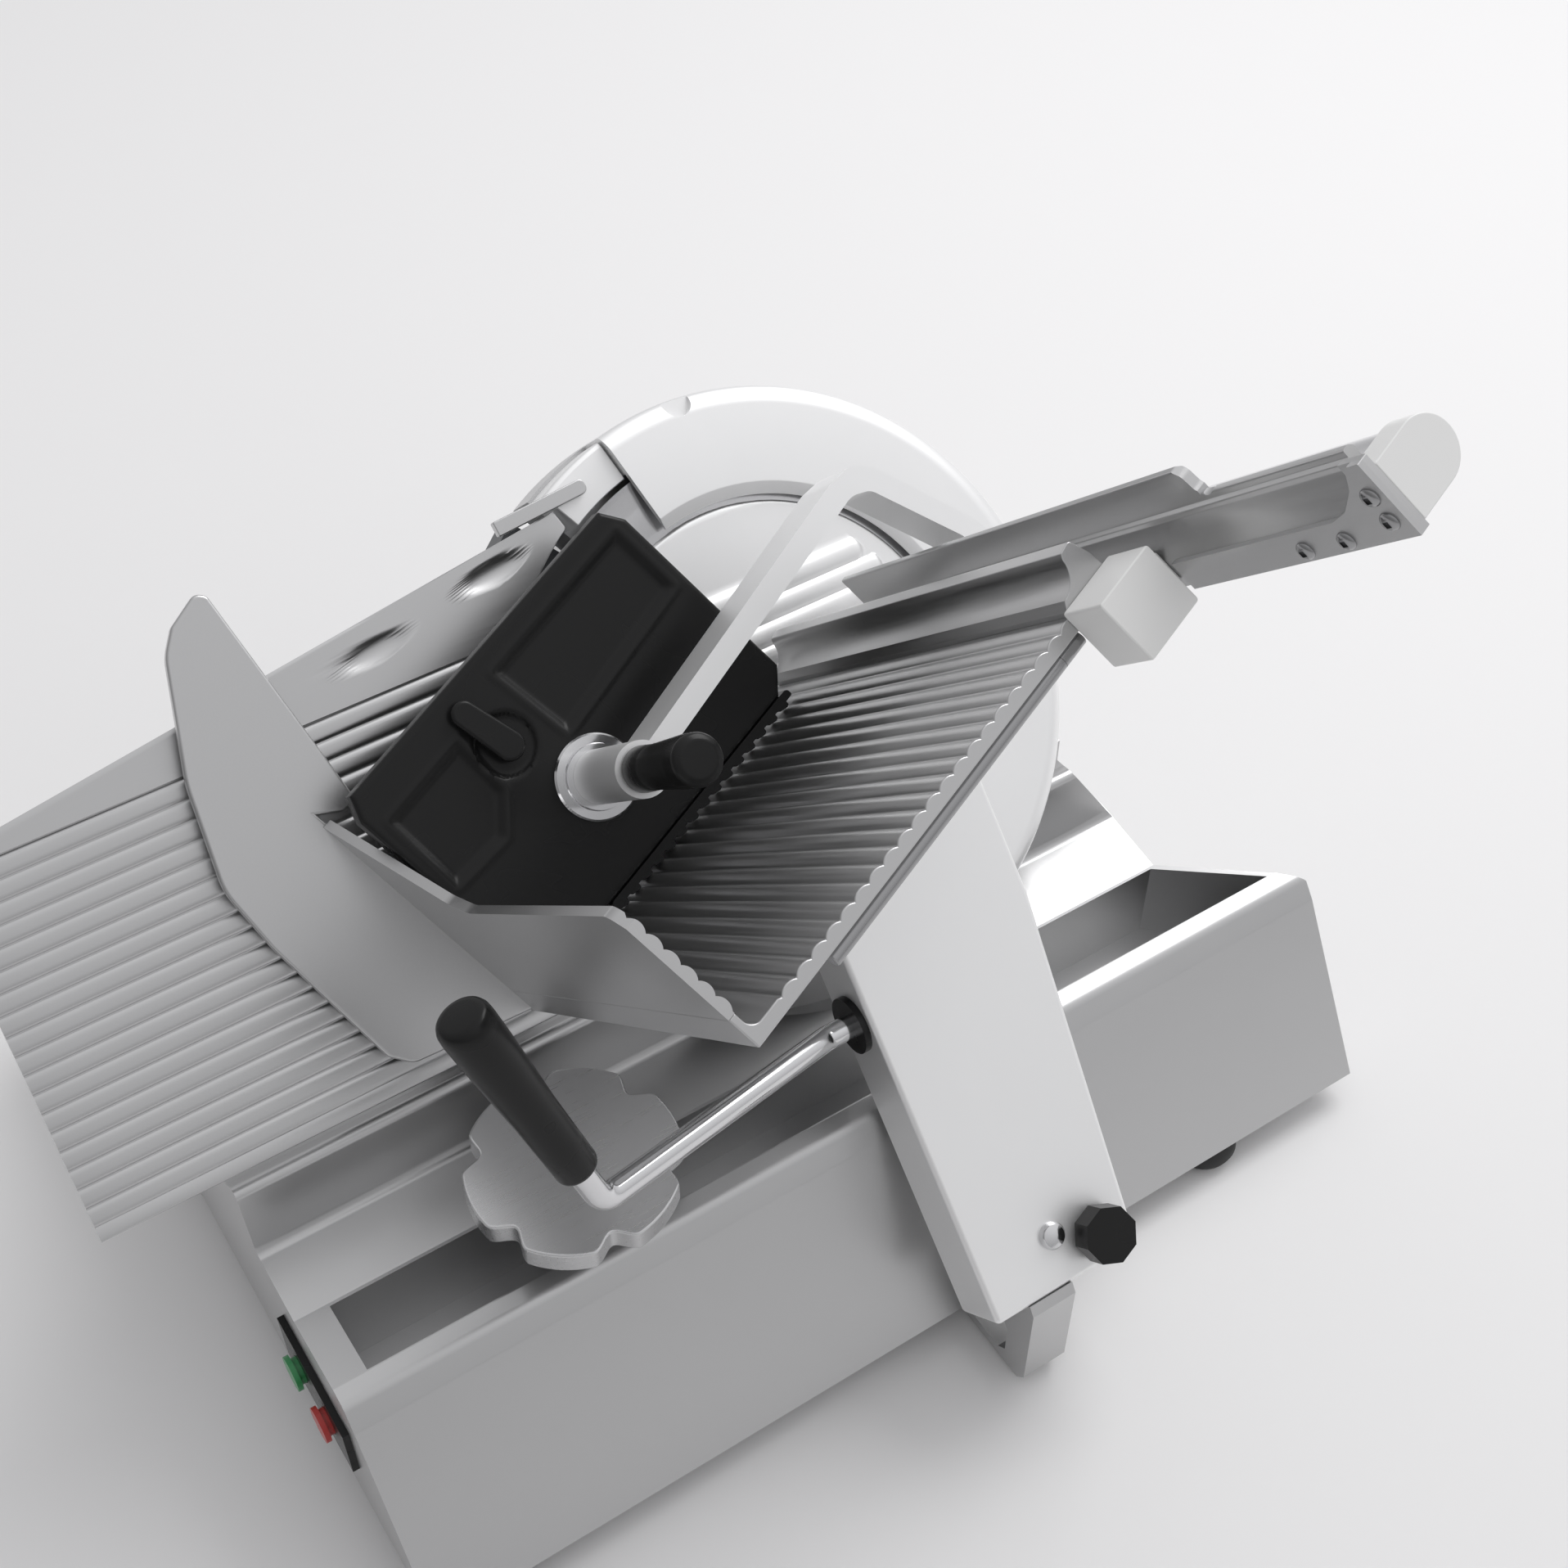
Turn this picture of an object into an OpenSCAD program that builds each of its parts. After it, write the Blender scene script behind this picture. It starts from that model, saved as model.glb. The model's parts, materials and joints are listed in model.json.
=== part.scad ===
// Gravity-feed deli meat slicer, in millimetres.
// Origin: on the table, in the middle of the whole machine's footprint. +Z is up, the carriage
// travels along Y, the operator stands at -Y and the product chute is on the +X side.

/* [Blade] */
// Blade diameter
blade_d = 310; // [300:1:316]
// Height of the blade's middle above the table
blade_h = 280; // [278:1:300]
// How far the blade leans back from vertical
tilt = 45; // [45:1:45]

/* [Chute] */
// How far the chute's floor is rolled up from level
chute_roll = 25; // [25:1:25]
// Length of the chute's outer end from the blade plane
chute_len = 345; // [330:1:350]
// Width of the ribbed floor
floor_w = 232; // [225:1:232]
// Height of the ribbed side wall
side_h = 76; // [70:1:80]
// Spacing of the ribs in the chute
rib_pitch = 10.3; // [9.5:0.1:11]

/* [Gauge plate] */
// How far the plate's free end reaches from the blade's middle
gauge_reach = 470; // [440:5:480]
// Spacing of the plate's ribs
gauge_pitch = 10.8; // [10:0.1:12]

/* [Base] */
// Length of the base in front of the blade's middle
base_front = 400; // [390:5:420]
// Length of the base behind the blade's middle
base_back = 262; // [258:1:280]
// Height of the rubber feet
foot_h = 20; // [18:1:22]

/* [Holder] */
// Length of the meat holder's plate along the chute floor
plate_u = 221; // [200:1:222]
// Height of the meat holder's plate
plate_w = 144; // [120:1:150]
// Distance of the meat holder's plate from the blade plane
holder_n = 46; // [40:1:60]

/* [Hidden] */
$fn = 64;

blade_x = -54.219;              // blade's middle, from the middle of the footprint
blade_y = 104;
blade_r = blade_d / 2;
housing_r = 186;            // round housing behind the blade
housing_n = [-58, -28];     // back and front faces of the round housing
cover_r = 118;              // blade cover plate
plate_edge_r = blade_r + 8; // hollow edge of the gauge plate
apex_y = -215;              // inner corner of the chute, along the travel
apex_p = -89;               // inner corner of the chute, up the plate
chute_n0 = 8;               // end of the chute nearest the blade
wall = 6;                   // chute wall under the ribs
rib_h = 2;                  // height of a chute rib
gauge_low = -109;           // lower edge of the gauge plate
gauge_t = 9;                // thickness of the gauge plate
rail_u = 285;               // holder rail's face towards the chute
rail_end = 493;             // outer end of the holder rail
rod_u = 315;                // holder rod, along the chute floor
rod_w = -18;                // holder rod, up the side wall
hub_u = 104;                // hub of the meat holder
hub_w = 59;
slide_x = 178;              // carriage slide rod inside the base
slide_z = 52;
run = 0.05;                 // radial clearance of a running fit
deck_z = 141;               // base's deck under the chute
channel = [136, 184];       // sides of the long channel outside the deck
channel_z = 80;             // floor of the channel
dial_x = 156;               // thickness dial
dial_y = -238;
motor_p = 110;              // motor axis above the spindle, up the plate
panel_x = 150;              // switch panel on the operator's end
col_back = 48;              // carriage column's back and front, from the blade plane
col_front = 92;
col_low = -362;             // carriage column's lower end, down the plate

// ---------- frames ----------

// Puts the blade's middle where the part's origin wants it
module on_table() {
    translate([blade_x, blade_y, 0])
        children();
}

// X away from the blade along the feed, Y along the travel, Z up the gauge plate
module feed() {
    translate([0, 0, blade_h])
        rotate([0, -tilt, 0])
            children();
}

// X away from the blade, Y along the chute's floor, Z up the chute's side wall
module chute() {
    feed()
        translate([0, apex_y, apex_p])
            rotate([chute_roll, 0, 0])
                children();
}

// Draws a flat outline across the feed and pulls it from n0 to n1
module pull(n0, n1) {
    translate([n0, 0, 0])
        rotate([90, 0, 90])
            linear_extrude(n1 - n0)
                children();
}

// Draws an X-Z outline and pulls it from y0 to y1
module run_y(y0, y1) {
    translate([0, y1, 0])
        rotate([90, 0, 0])
            linear_extrude(y1 - y0)
                children();
}

module disc_n(r, n0, n1) {
    translate([n0, 0, 0])
        rotate([0, 90, 0])
            cylinder(r = r, h = n1 - n0);
}

module rod_y(r, y0, y1) {
    translate([0, y1, 0])
        rotate([90, 0, 0])
            cylinder(r = r, h = y1 - y0);
}

module tube_n(r_out, r_in, n0, n1) {
    difference() {
        disc_n(r_out, n0, n1);
        disc_n(r_in, n0 - 1, n1 + 1);
    }
}

// A rectangle with round corners, exact arcs
module round_rect(w, h, r) {
    translate([r, 0])
        square([w - 2 * r, h]);
    translate([0, r])
        square([w, h - 2 * r]);
    for (x = [r, w - r], y = [r, h - r])
        translate([x, y])
            circle(r = r);
}

// A pie slice between two angles, to cut a ring with
module wedge(a0, a1, r) {
    polygon([[0, 0], for (i = [0:8]) let (a = a0 + (a1 - a0) * i / 8) [r * cos(a), r * sin(a)]]);
}

// ---------- base ----------

module base_outline() {
    polygon([[-240, foot_h], [271, foot_h], [205, 132], [196, 142], [186, 145], [134, deck_z - 2],
        [90, deck_z], [86, 146], [78, 194], [60, 176], [38, 160], [-50, 160], [-75, 128], [-222, 112],
        [-240, 96]]);
}

module base_hollow() {
    polygon([[-234, foot_h - 1], [263, foot_h - 1], [199, 129], [184, 139], [134, deck_z - 8],
        [85, deck_z - 6], [80, 143], [74, 181], [64, 171], [41, 154], [-53, 154], [-78, 122], [-219, 106],
        [-234, 93]]);
}

module base_plan(inset) {
    polygon([[-240 + inset, -base_front + inset], [272, -base_front + inset],
        [272, base_back - inset], [198 - inset / 2, base_back - inset], [134 - inset / 3, 191 - 1.3 * inset],
        [77, 195 - inset], [-240 + inset, 196 - inset]]);
}

// Long channel between the deck and the outer wall, closed by the base's slanting end
module base_channel(grow) {
    intersection() {
        run_y(-base_front + 20 - grow, base_back)
            polygon([[channel[0] - grow, channel_z - grow], [channel[1] + grow, channel_z - grow],
                [channel[1] + grow, 160], [channel[0] - grow, 160]]);
        linear_extrude(400)
            base_plan(5 - grow * 5 / 6);
    }
}

// Slant across the rear end of the ridge behind the deck
module ridge_slant(back) {
    translate([30, 0, 0])
        rotate([90, 0, 90])
            linear_extrude(62)
                polygon([[194 - back, deck_z + 1], [154 - back, 206], [300, 206], [300, deck_z + 1]]);
}

module base_housing() {
    color("lightgray")
        on_table()
        difference() {
            intersection() {
                run_y(-base_front, base_back)
                    base_outline();
                linear_extrude(400)
                    base_plan(0);
            }
            difference() {
                intersection() {
                    run_y(-base_front, base_back)
                        base_hollow();
                    linear_extrude(400)
                        base_plan(6);
                }
                base_channel(6);
                ridge_slant(6);
            }
            base_channel(0);
            ridge_slant(0);
            feed()
                disc_n(housing_r + 2, housing_n[0] - 2, 60);
            // bore for the dial's shaft
            translate([dial_x, dial_y, 60])
                cylinder(r = 9 + run, h = 80);
            // bores for the two push buttons
            for (x = [-18, 18])
                translate([panel_x + x, -base_front - 1, 88])
                    rotate([-90, 0, 0])
                        cylinder(r = 8.5, h = 12);
        }
}

module base_plate() {
    color("gray")
        on_table()
        translate([0, 0, foot_h - 3])
            difference() {
                linear_extrude(3)
                    base_plan(4);
                translate([262, -500, -1])
                    cube([40, 900, 5]);
                // slot that the carriage foot runs in
                translate([182, -150, -1])
                    cube([28, 280, 5]);
            }
}

module rubber_feet() {
    color("black")
        on_table()
        for (p = [[252, 154], [252, -360], [-205, 150], [-205, -360]])
            translate([p[0], p[1], 0])
                rotate_extrude()
                    polygon([[0, 0], [16, 0], [20, 3], [22, 8], [21, 13], [17, foot_h - 3], [0, foot_h - 3]]);
}

// ---------- blade and its housing ----------

// Round behind the blade, cut back where the slices come off
module housing_outline() {
    circle(r = 138);
    intersection() {
        circle(r = housing_r, $fn = 128);
        wedge(-75, 119, 260);
    }
}

module blade_housing() {
    color("lightgray") on_table() {
        difference() {
            union() {
                feed()
                    pull(housing_n[0], housing_n[1])
                        housing_outline();
                for (y = [[-130, -64], [64, 130]])
                    run_y(y[0], y[1])
                        polygon([[37, 160], [-48, 160], [-92, 204], [-60, 258]]);
            }
            feed()
                disc_n(21, housing_n[0] - 1, housing_n[1] + 1);
            // keeps the neck behind the round housing and off the base
            feed()
                disc_n(housing_r + 60, housing_n[1], 120);
        }
    }
}

// Section of the guard: an upstand round the blade and a flange over its edge
module guard_section() {
    polygon([[160, housing_n[1]], [housing_r, housing_n[1]], [housing_r, 1], [183, 4], [160, 5],
        [127, 5], [118.5, 0.6], [160, 0.6]]);
}

module guard_ring() {
    color("whitesmoke")
        on_table()
        feed()
            intersection() {
                rotate([0, 90, 0])
                    rotate_extrude($fn = 128)
                        guard_section();
                pull(housing_n[1] - 1, 20)
                    wedge(-75, 104, 260);
            }
}

module side_guard() {
    color("whitesmoke")
        on_table()
        feed()
            intersection() {
                difference() {
                    disc_n(housing_r - 2, housing_n[1], -1);
                    disc_n(blade_r + 3, housing_n[1] - 1, 10);
                }
                pull(housing_n[1] - 1, 20)
                    wedge(104.3, 119, 260);
            }
}

module guard_tongue() {
    color("silver")
        on_table()
        feed()
            translate([-1, -124, 148.8])
                rotate([5, 0, 0])
                    cube([6, 60, 9]);
}

module blade() {
    color("silver")
        on_table()
        feed()
            rotate([0, 90, 0])
                rotate_extrude($fn = 128)
                    polygon([[16, -9], [16, -5], [122, -5], [140, -3.2], [blade_r - 4, -1.4],
                        [blade_r, 0], [blade_r - 1.5, -2.5], [136, -7.5], [100, -9]]);
}

module blade_cover() {
    color("whitesmoke")
        on_table()
        feed() {
            disc_n(cover_r, -4.4, -1.6);
            intersection() {
                disc_n(cover_r - 8, -1.6, 5);
                for (i = [0:12])
                    translate([-3.4, -150, 64 - i * 13])
                        rotate([-90, 0, 0])
                            cylinder(r = 3.4, h = 300, $fn = 32);
            }
        }
}

module blade_spindle() {
    color("dimgray")
        on_table()
        feed()
            difference() {
                union() {
                    disc_n(12, -98, -27);
                    disc_n(34, -27, -9);
                    disc_n(16, -9, -5);
                }
                disc_n(5.5, -99, 0);
            }
}

module spindle_bearings() {
    color("silver")
        on_table()
        feed() {
            tube_n(21, 12 + run, -57, -45);
            tube_n(21, 12 + run, -41, -29);
        }
}

module driven_pulley() {
    color("gray")
        on_table()
        feed()
            difference() {
                union() {
                    disc_n(52, -97, -95);
                    disc_n(49.6, -95, -81);
                    disc_n(52, -81, -79);
                }
                disc_n(12, -98, -70);
                for (a = [0:60:300])
                    rotate([a, 0, 0])
                        translate([0, 30, 0])
                            disc_n(9, -98, -78);
            }
}

// Pulley turned in one piece with the motor's shaft
module motor_pulley() {
    color("gray")
        on_table()
            feed()
                translate([0, 0, motor_p]) {
                    disc_n(14, -97, -95);
                    disc_n(11.6, -95, -81);
                    disc_n(14, -81, -79);
                    disc_n(7, -104, -97);
                    disc_n(7, -79, -74);
                }
}

// Belt outline: two arcs joined by their common tangents
module belt_line(grow) {
    big = 50 + grow;
    small = 12 + grow;
    lean = asin((big - small) / motor_p);
    circle(r = big);
    translate([0, motor_p])
        circle(r = small);
    polygon([[-big * cos(lean), big * sin(lean)], [big * cos(lean), big * sin(lean)],
        [small * cos(lean), motor_p + small * sin(lean)], [-small * cos(lean), motor_p + small * sin(lean)]]);
}

module drive_belt() {
    color("black")
        on_table()
        feed()
            pull(-94.5, -81.5)
                difference() {
                    belt_line(3);
                    belt_line(0);
                }
}

module drive_motor() {
    color("dimgray")
        on_table()
        feed()
            translate([0, 0, motor_p])
                difference() {
                    union() {
                        disc_n(42, -176, -108);
                        disc_n(20, -182, -176);
                        for (a = [0:30:330])
                            rotate([a, 0, 0])
                                translate([-170, 41, -1.5])
                                    cube([56, 5, 3]);
                    }
                    disc_n(8, -120, -100);
                }
}

module motor_mount() {
    color("gray")
        on_table()
        feed()
            translate([0, 0, motor_p])
                difference() {
                    union() {
                        disc_n(54, -108, -104);
                        for (post = [[-42, 8], [42, 8], [0, 42]])
                            translate([0, post[0], post[1]])
                                disc_n(6, -104, housing_n[0]);
                    }
                    disc_n(9, -110, -100);
                }
}

module cover_shape(r, n0, n1, n2) {
    pull(n1, n2) {
        circle(r = r);
        translate([0, motor_p])
            circle(r = r);
        translate([-r, 0])
            square([2 * r, motor_p]);
    }
    translate([0, 0, motor_p])
        disc_n(r, n0, n1);
}

module motor_cover() {
    color("lightgray")
        on_table()
        feed()
            difference() {
                cover_shape(58, -190, -106, housing_n[0]);
                cover_shape(55.5, -187.5, -103.5, housing_n[0] + 1);
                disc_n(5.5, -120, -100);
            }
}

module cover_tie_rod() {
    color("silver")
        on_table()
        feed()
            disc_n(4.5, -116, -4.4);
}

module cover_knob() {
    color("black")
        on_table()
        feed()
            difference() {
                union() {
                    disc_n(17, -118, -110);
                    disc_n(11, -110, -106);
                    disc_n(14, -122, -118);
                }
                disc_n(4.5, -116, -100);
            }
}

// ---------- thickness gauge ----------

// Plate outline in the travel and up-the-plate directions
module gauge_outline() {
    difference() {
        polygon([[-gauge_reach + 10, gauge_low], [-30, gauge_low], [-30, 60], [-88, 151],
            [-146, 144], [-151, 141], [-151, 143], [-gauge_reach + 8, 103],
            [-gauge_reach, 95], [-gauge_reach, gauge_low + 10]]);
        circle(r = plate_edge_r, $fn = 128);
    }
}

// Round-ended hollow pressed into the plate's smooth band
module dimple(y, p) {
    translate([7, y, p])
        rotate([7, 0, 0]) {
            rod_y(11, -15, 15);
            for (e = [-15, 15])
                translate([0, e, 0])
                    sphere(r = 11, $fn = 32);
        }
}

module gauge_plate() {
    color("silver")
        on_table()
        feed()
            difference() {
                union() {
                    pull(-gauge_t, -2)
                        gauge_outline();
                    intersection() {
                        pull(-2, 1)
                            gauge_outline();
                        union() {
                            for (i = [0:17])
                                translate([-10.3, 0, gauge_low + 8 + gauge_pitch * (i + 0.5)])
                                    rod_y(10.3, -gauge_reach, -20);
                            translate([-3, -gauge_reach, gauge_low + 8 + 18 * gauge_pitch])
                                cube([3, gauge_reach, 90]);
                            translate([-3, -gauge_reach, gauge_low])
                                cube([3, gauge_reach, 8]);
                        }
                    }
                }
                dimple(-135, 132);
                dimple(-214, 117);
            }
}

module gauge_carrier() {
    color("gray")
        on_table()
        feed()
            difference() {
                union() {
                    pull(-26, -gauge_t)
                        translate([-330, -80])
                            square([136, 140]);
                    for (p = [-45, 25])
                        translate([0, -225, p])
                            disc_n(16, -66, -20);
                }
                for (p = [-45, 25])
                    translate([0, -225, p])
                        disc_n(9 + run, -80, -10);
            }
}

module gauge_rods() {
    color("silver")
        on_table()
        feed()
            for (p = [-45, 25])
                translate([0, -225, p])
                    disc_n(9, -100, -26);
}

module gauge_bracket() {
    color("gray")
        on_table()
        difference() {
            run_y(-262, -190)
                polygon([[-8, 160], [-99, 251], [-113, 237], [-48, 160]]);
            feed()
                for (p = [-45, 25])
                    translate([0, -225, p])
                        disc_n(9, -100, -60);
        }
}

module thickness_dial() {
    color("silver")
        on_table()
        translate([dial_x, dial_y, 0])
            difference() {
                union() {
                    translate([0, 0, 174])
                        rotate_extrude($fn = 96)
                            polygon([[0, 0], [58, 0], [60, 2], [60, 13], [58, 15], [47, 15], [44, 13],
                                [0, 13]]);
                    translate([0, 0, 72])
                        cylinder(r = 9, h = 102);
                    translate([-36, -6, 187])
                        cube([72, 12, 5]);
                }
            }
}

module dial_collar() {
    color("dimgray")
        on_table()
        translate([dial_x, dial_y, channel_z])
            difference() {
                cylinder(r = 20, h = 92);
                translate([0, 0, -1])
                    cylinder(r = 9 + run, h = 100);
            }
}

// Spiral cam disc under the channel that draws the gauge in and out
module dial_scroll() {
    color("gray")
        on_table()
        translate([dial_x, dial_y, 64])
            difference() {
                cylinder(r = 26, h = 8);
                for (a = [0:30:240])
                    rotate([0, 0, a])
                        translate([9 + a / 24, 0, 4])
                            cylinder(r = 2.5, h = 6);
            }
}

// ---------- carriage slide ----------

module slide_rod() {
    color("silver")
        on_table()
        translate([slide_x, 0, slide_z])
            rod_y(10, -386, 202);
}

// Two blocks that hold the slide rod, and the flat bar that keeps the slide from turning
module slide_rests() {
    color("gray") on_table() {
        for (y = [[-386, -366], [182, 202]])
            difference() {
                run_y(y[0], y[1])
                    translate([slide_x - 20, foot_h])
                        square([40, 50]);
                translate([slide_x, 0, slide_z])
                    rod_y(10, -400, 300);
            }
        translate([128, -380, foot_h])
            cube([10, 530, 22]);
    }
}

module slide_block() {
    color("gray")
        on_table()
        difference() {
            union() {
                run_y(-55, 7)
                    translate([slide_x - 20, 33])
                        square([48, 38]);
                translate([124, -40, 42.4])
                    cube([38, 30, 12]);
            }
            translate([slide_x, 0, slide_z])
                rod_y(13, -60, 20);
        }
}

module slide_bushings() {
    color("goldenrod")
        on_table()
        translate([slide_x, 0, slide_z])
            for (y = [[-55, -35], [-13, 7]])
                difference() {
                    rod_y(13, y[0], y[1]);
                    rod_y(10 + run, y[0] - 1, y[1] + 1);
                }
}

// Hooks under the base's outer wall and up through a slot to the slide block
module carriage_foot() {
    color("lightgray")
        on_table()
            run_y(-45, -15)
                polygon([[289.9, 58], [321, 89.1], [325, 83], [325, 14], [319, 6], [186, 6], [186, 33],
                    [206, 33], [206, 13.5], [300, 13.5], [306, 19], [306, 41.9]]);
}

// Outline of the column seen along the feed; its top follows the chute's underside
module column_outline() {
    under = apex_p - (wall + rib_h) / cos(chute_roll);
    polygon([[-67, col_low], [33, col_low], [53, -150], [53, 10.2], [46.6, 24.1],
        [-67, under + (-67 - apex_y) * tan(chute_roll)]]);
}

module carriage_column() {
    color("lightgray")
        on_table()
        feed()
            difference() {
                union() {
                    pull(col_back, col_front)
                        column_outline();
                    // head of the pivot bolt
                    translate([0, -16, -332])
                        disc_n(8, col_front - 1, col_front + 5);
                }
                pull(col_back - 1, col_front - 6)
                    translate([-59, col_low - 10])
                        square([76, 242]);
                // bore for the handle's grommet
                translate([70, -70, -176])
                    rotate([-90, 0, 0])
                        cylinder(r = 13, h = 20);
                translate([0, 10, -343])
                    disc_n(8 + run, 80, 100);
            }
}

module tilt_lock_knob() {
    color("black")
        on_table()
        feed()
            translate([0, 10, -343]) {
                disc_n(8, 82, col_front + 1);
                disc_n(13, col_front + 1, col_front + 5);
                translate([col_front + 5, 0, 0])
                    rotate([0, 90, 0])
                        cylinder(r = 17, h = 14, $fn = 8);
            }
}

// ---------- chute ----------

// Row of round-topped ribs along a wall, each one rib_pitch wide
module rib_row(first, last) {
    rib_r = (rib_pitch * rib_pitch / 4 + rib_h * rib_h) / (2 * rib_h);
    for (t = [first:rib_pitch:last])
        translate([t, -rib_r])
            circle(r = rib_r);
}

module chute_floor() {
    color("silver")
        on_table()
        chute()
            pull(chute_n0, chute_len)
                difference() {
                    union() {
                        translate([-wall, -wall - rib_h])
                            square([floor_w + wall, wall]);
                        intersection() {
                            rib_row(16, floor_w - 4);
                            translate([10, -rib_h - 1])
                                square([floor_w - 10, 10]);
                        }
                        translate([-wall, -rib_h])
                            square([wall + 10, 12]);
                    }
                    translate([6, 6 - rib_h / 2])
                        circle(r = 6);
                    translate([0, 6 - rib_h / 2])
                        square([40, 20]);
                    translate([6, -rib_h / 2])
                        square([4, 20]);
                }
}

module chute_side() {
    color("silver")
        on_table()
        chute()
            intersection() {
                pull(chute_n0 + 8, chute_len)
                    intersection() {
                        union() {
                            translate([-wall, 10])
                                square([wall - rib_h, 160]);
                            rotate([0, 0, 90])
                                rib_row(18, 150);
                        }
                        translate([-wall, 10])
                            square([wall, 160]);
                    }
                // top edge: level, then climbing towards the blade
                translate([0, 20, 0])
                    rotate([90, 0, 0])
                        linear_extrude(60)
                            polygon([[0, 0], [chute_len, 0], [chute_len, side_h - 10],
                                [chute_len - 12, side_h], [120, side_h], [108, side_h + 4],
                                [16, 148], [0, 148]]);
            }
}

// Flat guard beside the blade, outline in the travel and up-the-plate directions
module hand_guard() {
    color("silver")
        on_table()
        feed()
            pull(chute_n0, chute_n0 + 8)
                difference() {
                    polygon([[-219, -99], [-260, -96], [-289, -95], [-297, -88], [-332, -7], [-343, 31],
                        [-338, 90], [-320, 155], [-314, 166], [-294, 180], [-288, 176], [-257, 41],
                        [-284, 48]]);
                }
}

// Fence along the upper edge of the floor, a curved hollow rising to a lip
module lip_fence() {
    color("silver")
        on_table()
        chute()
            pull(chute_n0, chute_len)
                difference() {
                    polygon([[floor_w, -8], [floor_w, 2], [240, 6], [252, 20], [257, 21],
                        [261, 10], [262, -8]]);
                    translate([233, 19])
                        circle(r = 13);
                }
}

module edge_rod() {
    color("silver")
        on_table()
        chute()
            translate([338, 44, -wall - rib_h - 4]) {
                rotate([-90, 0, 0])
                    cylinder(r = 4, h = 172);
                translate([0, 172, 0])
                    rotate([-90, 0, 0])
                        cylinder(r = 4, h = 12);
            }
}

module mounting_block() {
    color("white")
        on_table()
        chute()
            difference() {
                union() {
                    translate([chute_len, 229.5, -32])
                        cube([32, 37, 35]);
                    translate([chute_len - 20, 240, -32])
                        cube([24, rail_u - 240, 18]);
                }
            }
}

// ---------- carriage handle ----------

module handle_grommet() {
    color("black")
        on_table()
        feed()
            translate([70, -70, -176])
                difference() {
                    union() {
                        rotate([-90, 0, 0])
                            cylinder(r = 13, h = 10);
                        rotate([-90, 0, 0])
                            translate([0, 0, -1])
                                cylinder(r = 17, h = 4);
                    }
                    translate([0, -2, 0])
                        rotate([-90, 0, 0])
                            cylinder(r = 7, h = 30);
                }
}

// A straight round bar between two points
module bar(a, b, r) {
    d = b - a;
    len = norm(d);
    translate(a)
        rotate([0, acos(d[2] / len), atan2(d[1], d[0])])
            cylinder(r = r, h = len);
}

handle_root = [70, -60, -176];
handle_out = [70, -86, -176];
handle_bend = [144, -255.5, -177];
grip_start = [158, -264, -152];
grip_end = [214, -298, -52];

module handle_tube() {
    color("silver")
        on_table()
        feed() {
            bar(handle_root, handle_out, 7);
            translate(handle_out)
                sphere(r = 9);
            bar(handle_out, handle_bend, 7);
            translate(handle_bend)
                sphere(r = 9);
            bar(handle_bend, grip_start, 7);
        }
}

module handle_grip() {
    d = grip_end - grip_start;
    len = norm(d);
    color("black")
        on_table()
        feed()
            translate(grip_start)
                rotate([0, acos(d[2] / len), atan2(d[1], d[0])])
                    rotate_extrude()
                        polygon([[0, 0], [10, 0], [11.5, 3], [12, 40], [14.2, 100], [14.5, len - 3],
                            [12.5, len], [0, len]]);
}

// ---------- meat holder ----------

// Foot along the bottom, a face leaning back above it and a rim on top
module rail_outline(top) {
    polygon([[rail_u, -37], [rail_u + 10, -37], [rail_u + 12, -34], [rail_u + 12, top - 2],
        [rail_u + 10, top], [rail_u + 6.5, top], [rail_u + 6.5, 0.5], [rail_u + 5, -1.5],
        [rail_u + 5.5, -4], [rail_u, -21]]);
}

module holder_rail() {
    color("silver")
        on_table()
        chute() {
            pull(45, 395)
                rail_outline(19);
            pull(395, rail_end)
                rail_outline(4);
        }
}

// Strip along the foot of the rail, swept up to its full height at the outer end
module rail_end_plate() {
    color("silver")
        on_table()
        chute() {
            translate([0, rail_u, 0])
                rotate([90, 0, 0])
                    linear_extrude(3)
                        polygon([[352, -37], [rail_end + 15, -37], [rail_end + 15, 2], [rail_end + 7, 2],
                            [rail_end - 4, -11], [rail_end - 13, -18], [rail_end - 24, -21], [352, -21]]);
            pull(rail_end, rail_end + 15)
                translate([rail_u, -37])
                    square([3, 39]);
        }
}

module rail_screws() {
    color("gray")
        on_table()
        chute()
            for (s = [[-52, -31], [-25, -31], [6, -27], [7, -14]])
                translate([rail_end + s[0], rail_u - 3, s[1]])
                    rotate([90, 0, 0])
                        difference() {
                            union() {
                                cylinder(r = 4.6, h = 1.2);
                                translate([0, 0, 1.2])
                                    cylinder(r1 = 4.6, r2 = 2.8, h = 1.4);
                            }
                            translate([-5, -0.7, 1.6])
                                cube([10, 1.4, 3]);
                        }
}

module rail_end_cap() {
    color("white")
        on_table()
        chute()
            pull(rail_end, rail_end + 15) {
                translate([rail_u + 3, -34.5])
                    square([22, 31]);
                translate([rail_u + 25, -19])
                    circle(r = 15.5);
            }
}

module holder_rod() {
    color("silver")
        on_table()
        chute()
            translate([0, rod_u, rod_w])
                disc_n(9, 60, rail_end);
}

module holder_slider() {
    color("silver")
        on_table()
        chute()
            difference() {
                translate([0, rod_u, rod_w]) {
                    disc_n(16, 92, 99.6);
                    disc_n(13.5, 99, 139);
                    disc_n(16, 138.4, 146);
                }
                translate([0, rod_u, rod_w])
                    disc_n(9 + run, 90, 150);
            }
}

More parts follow.
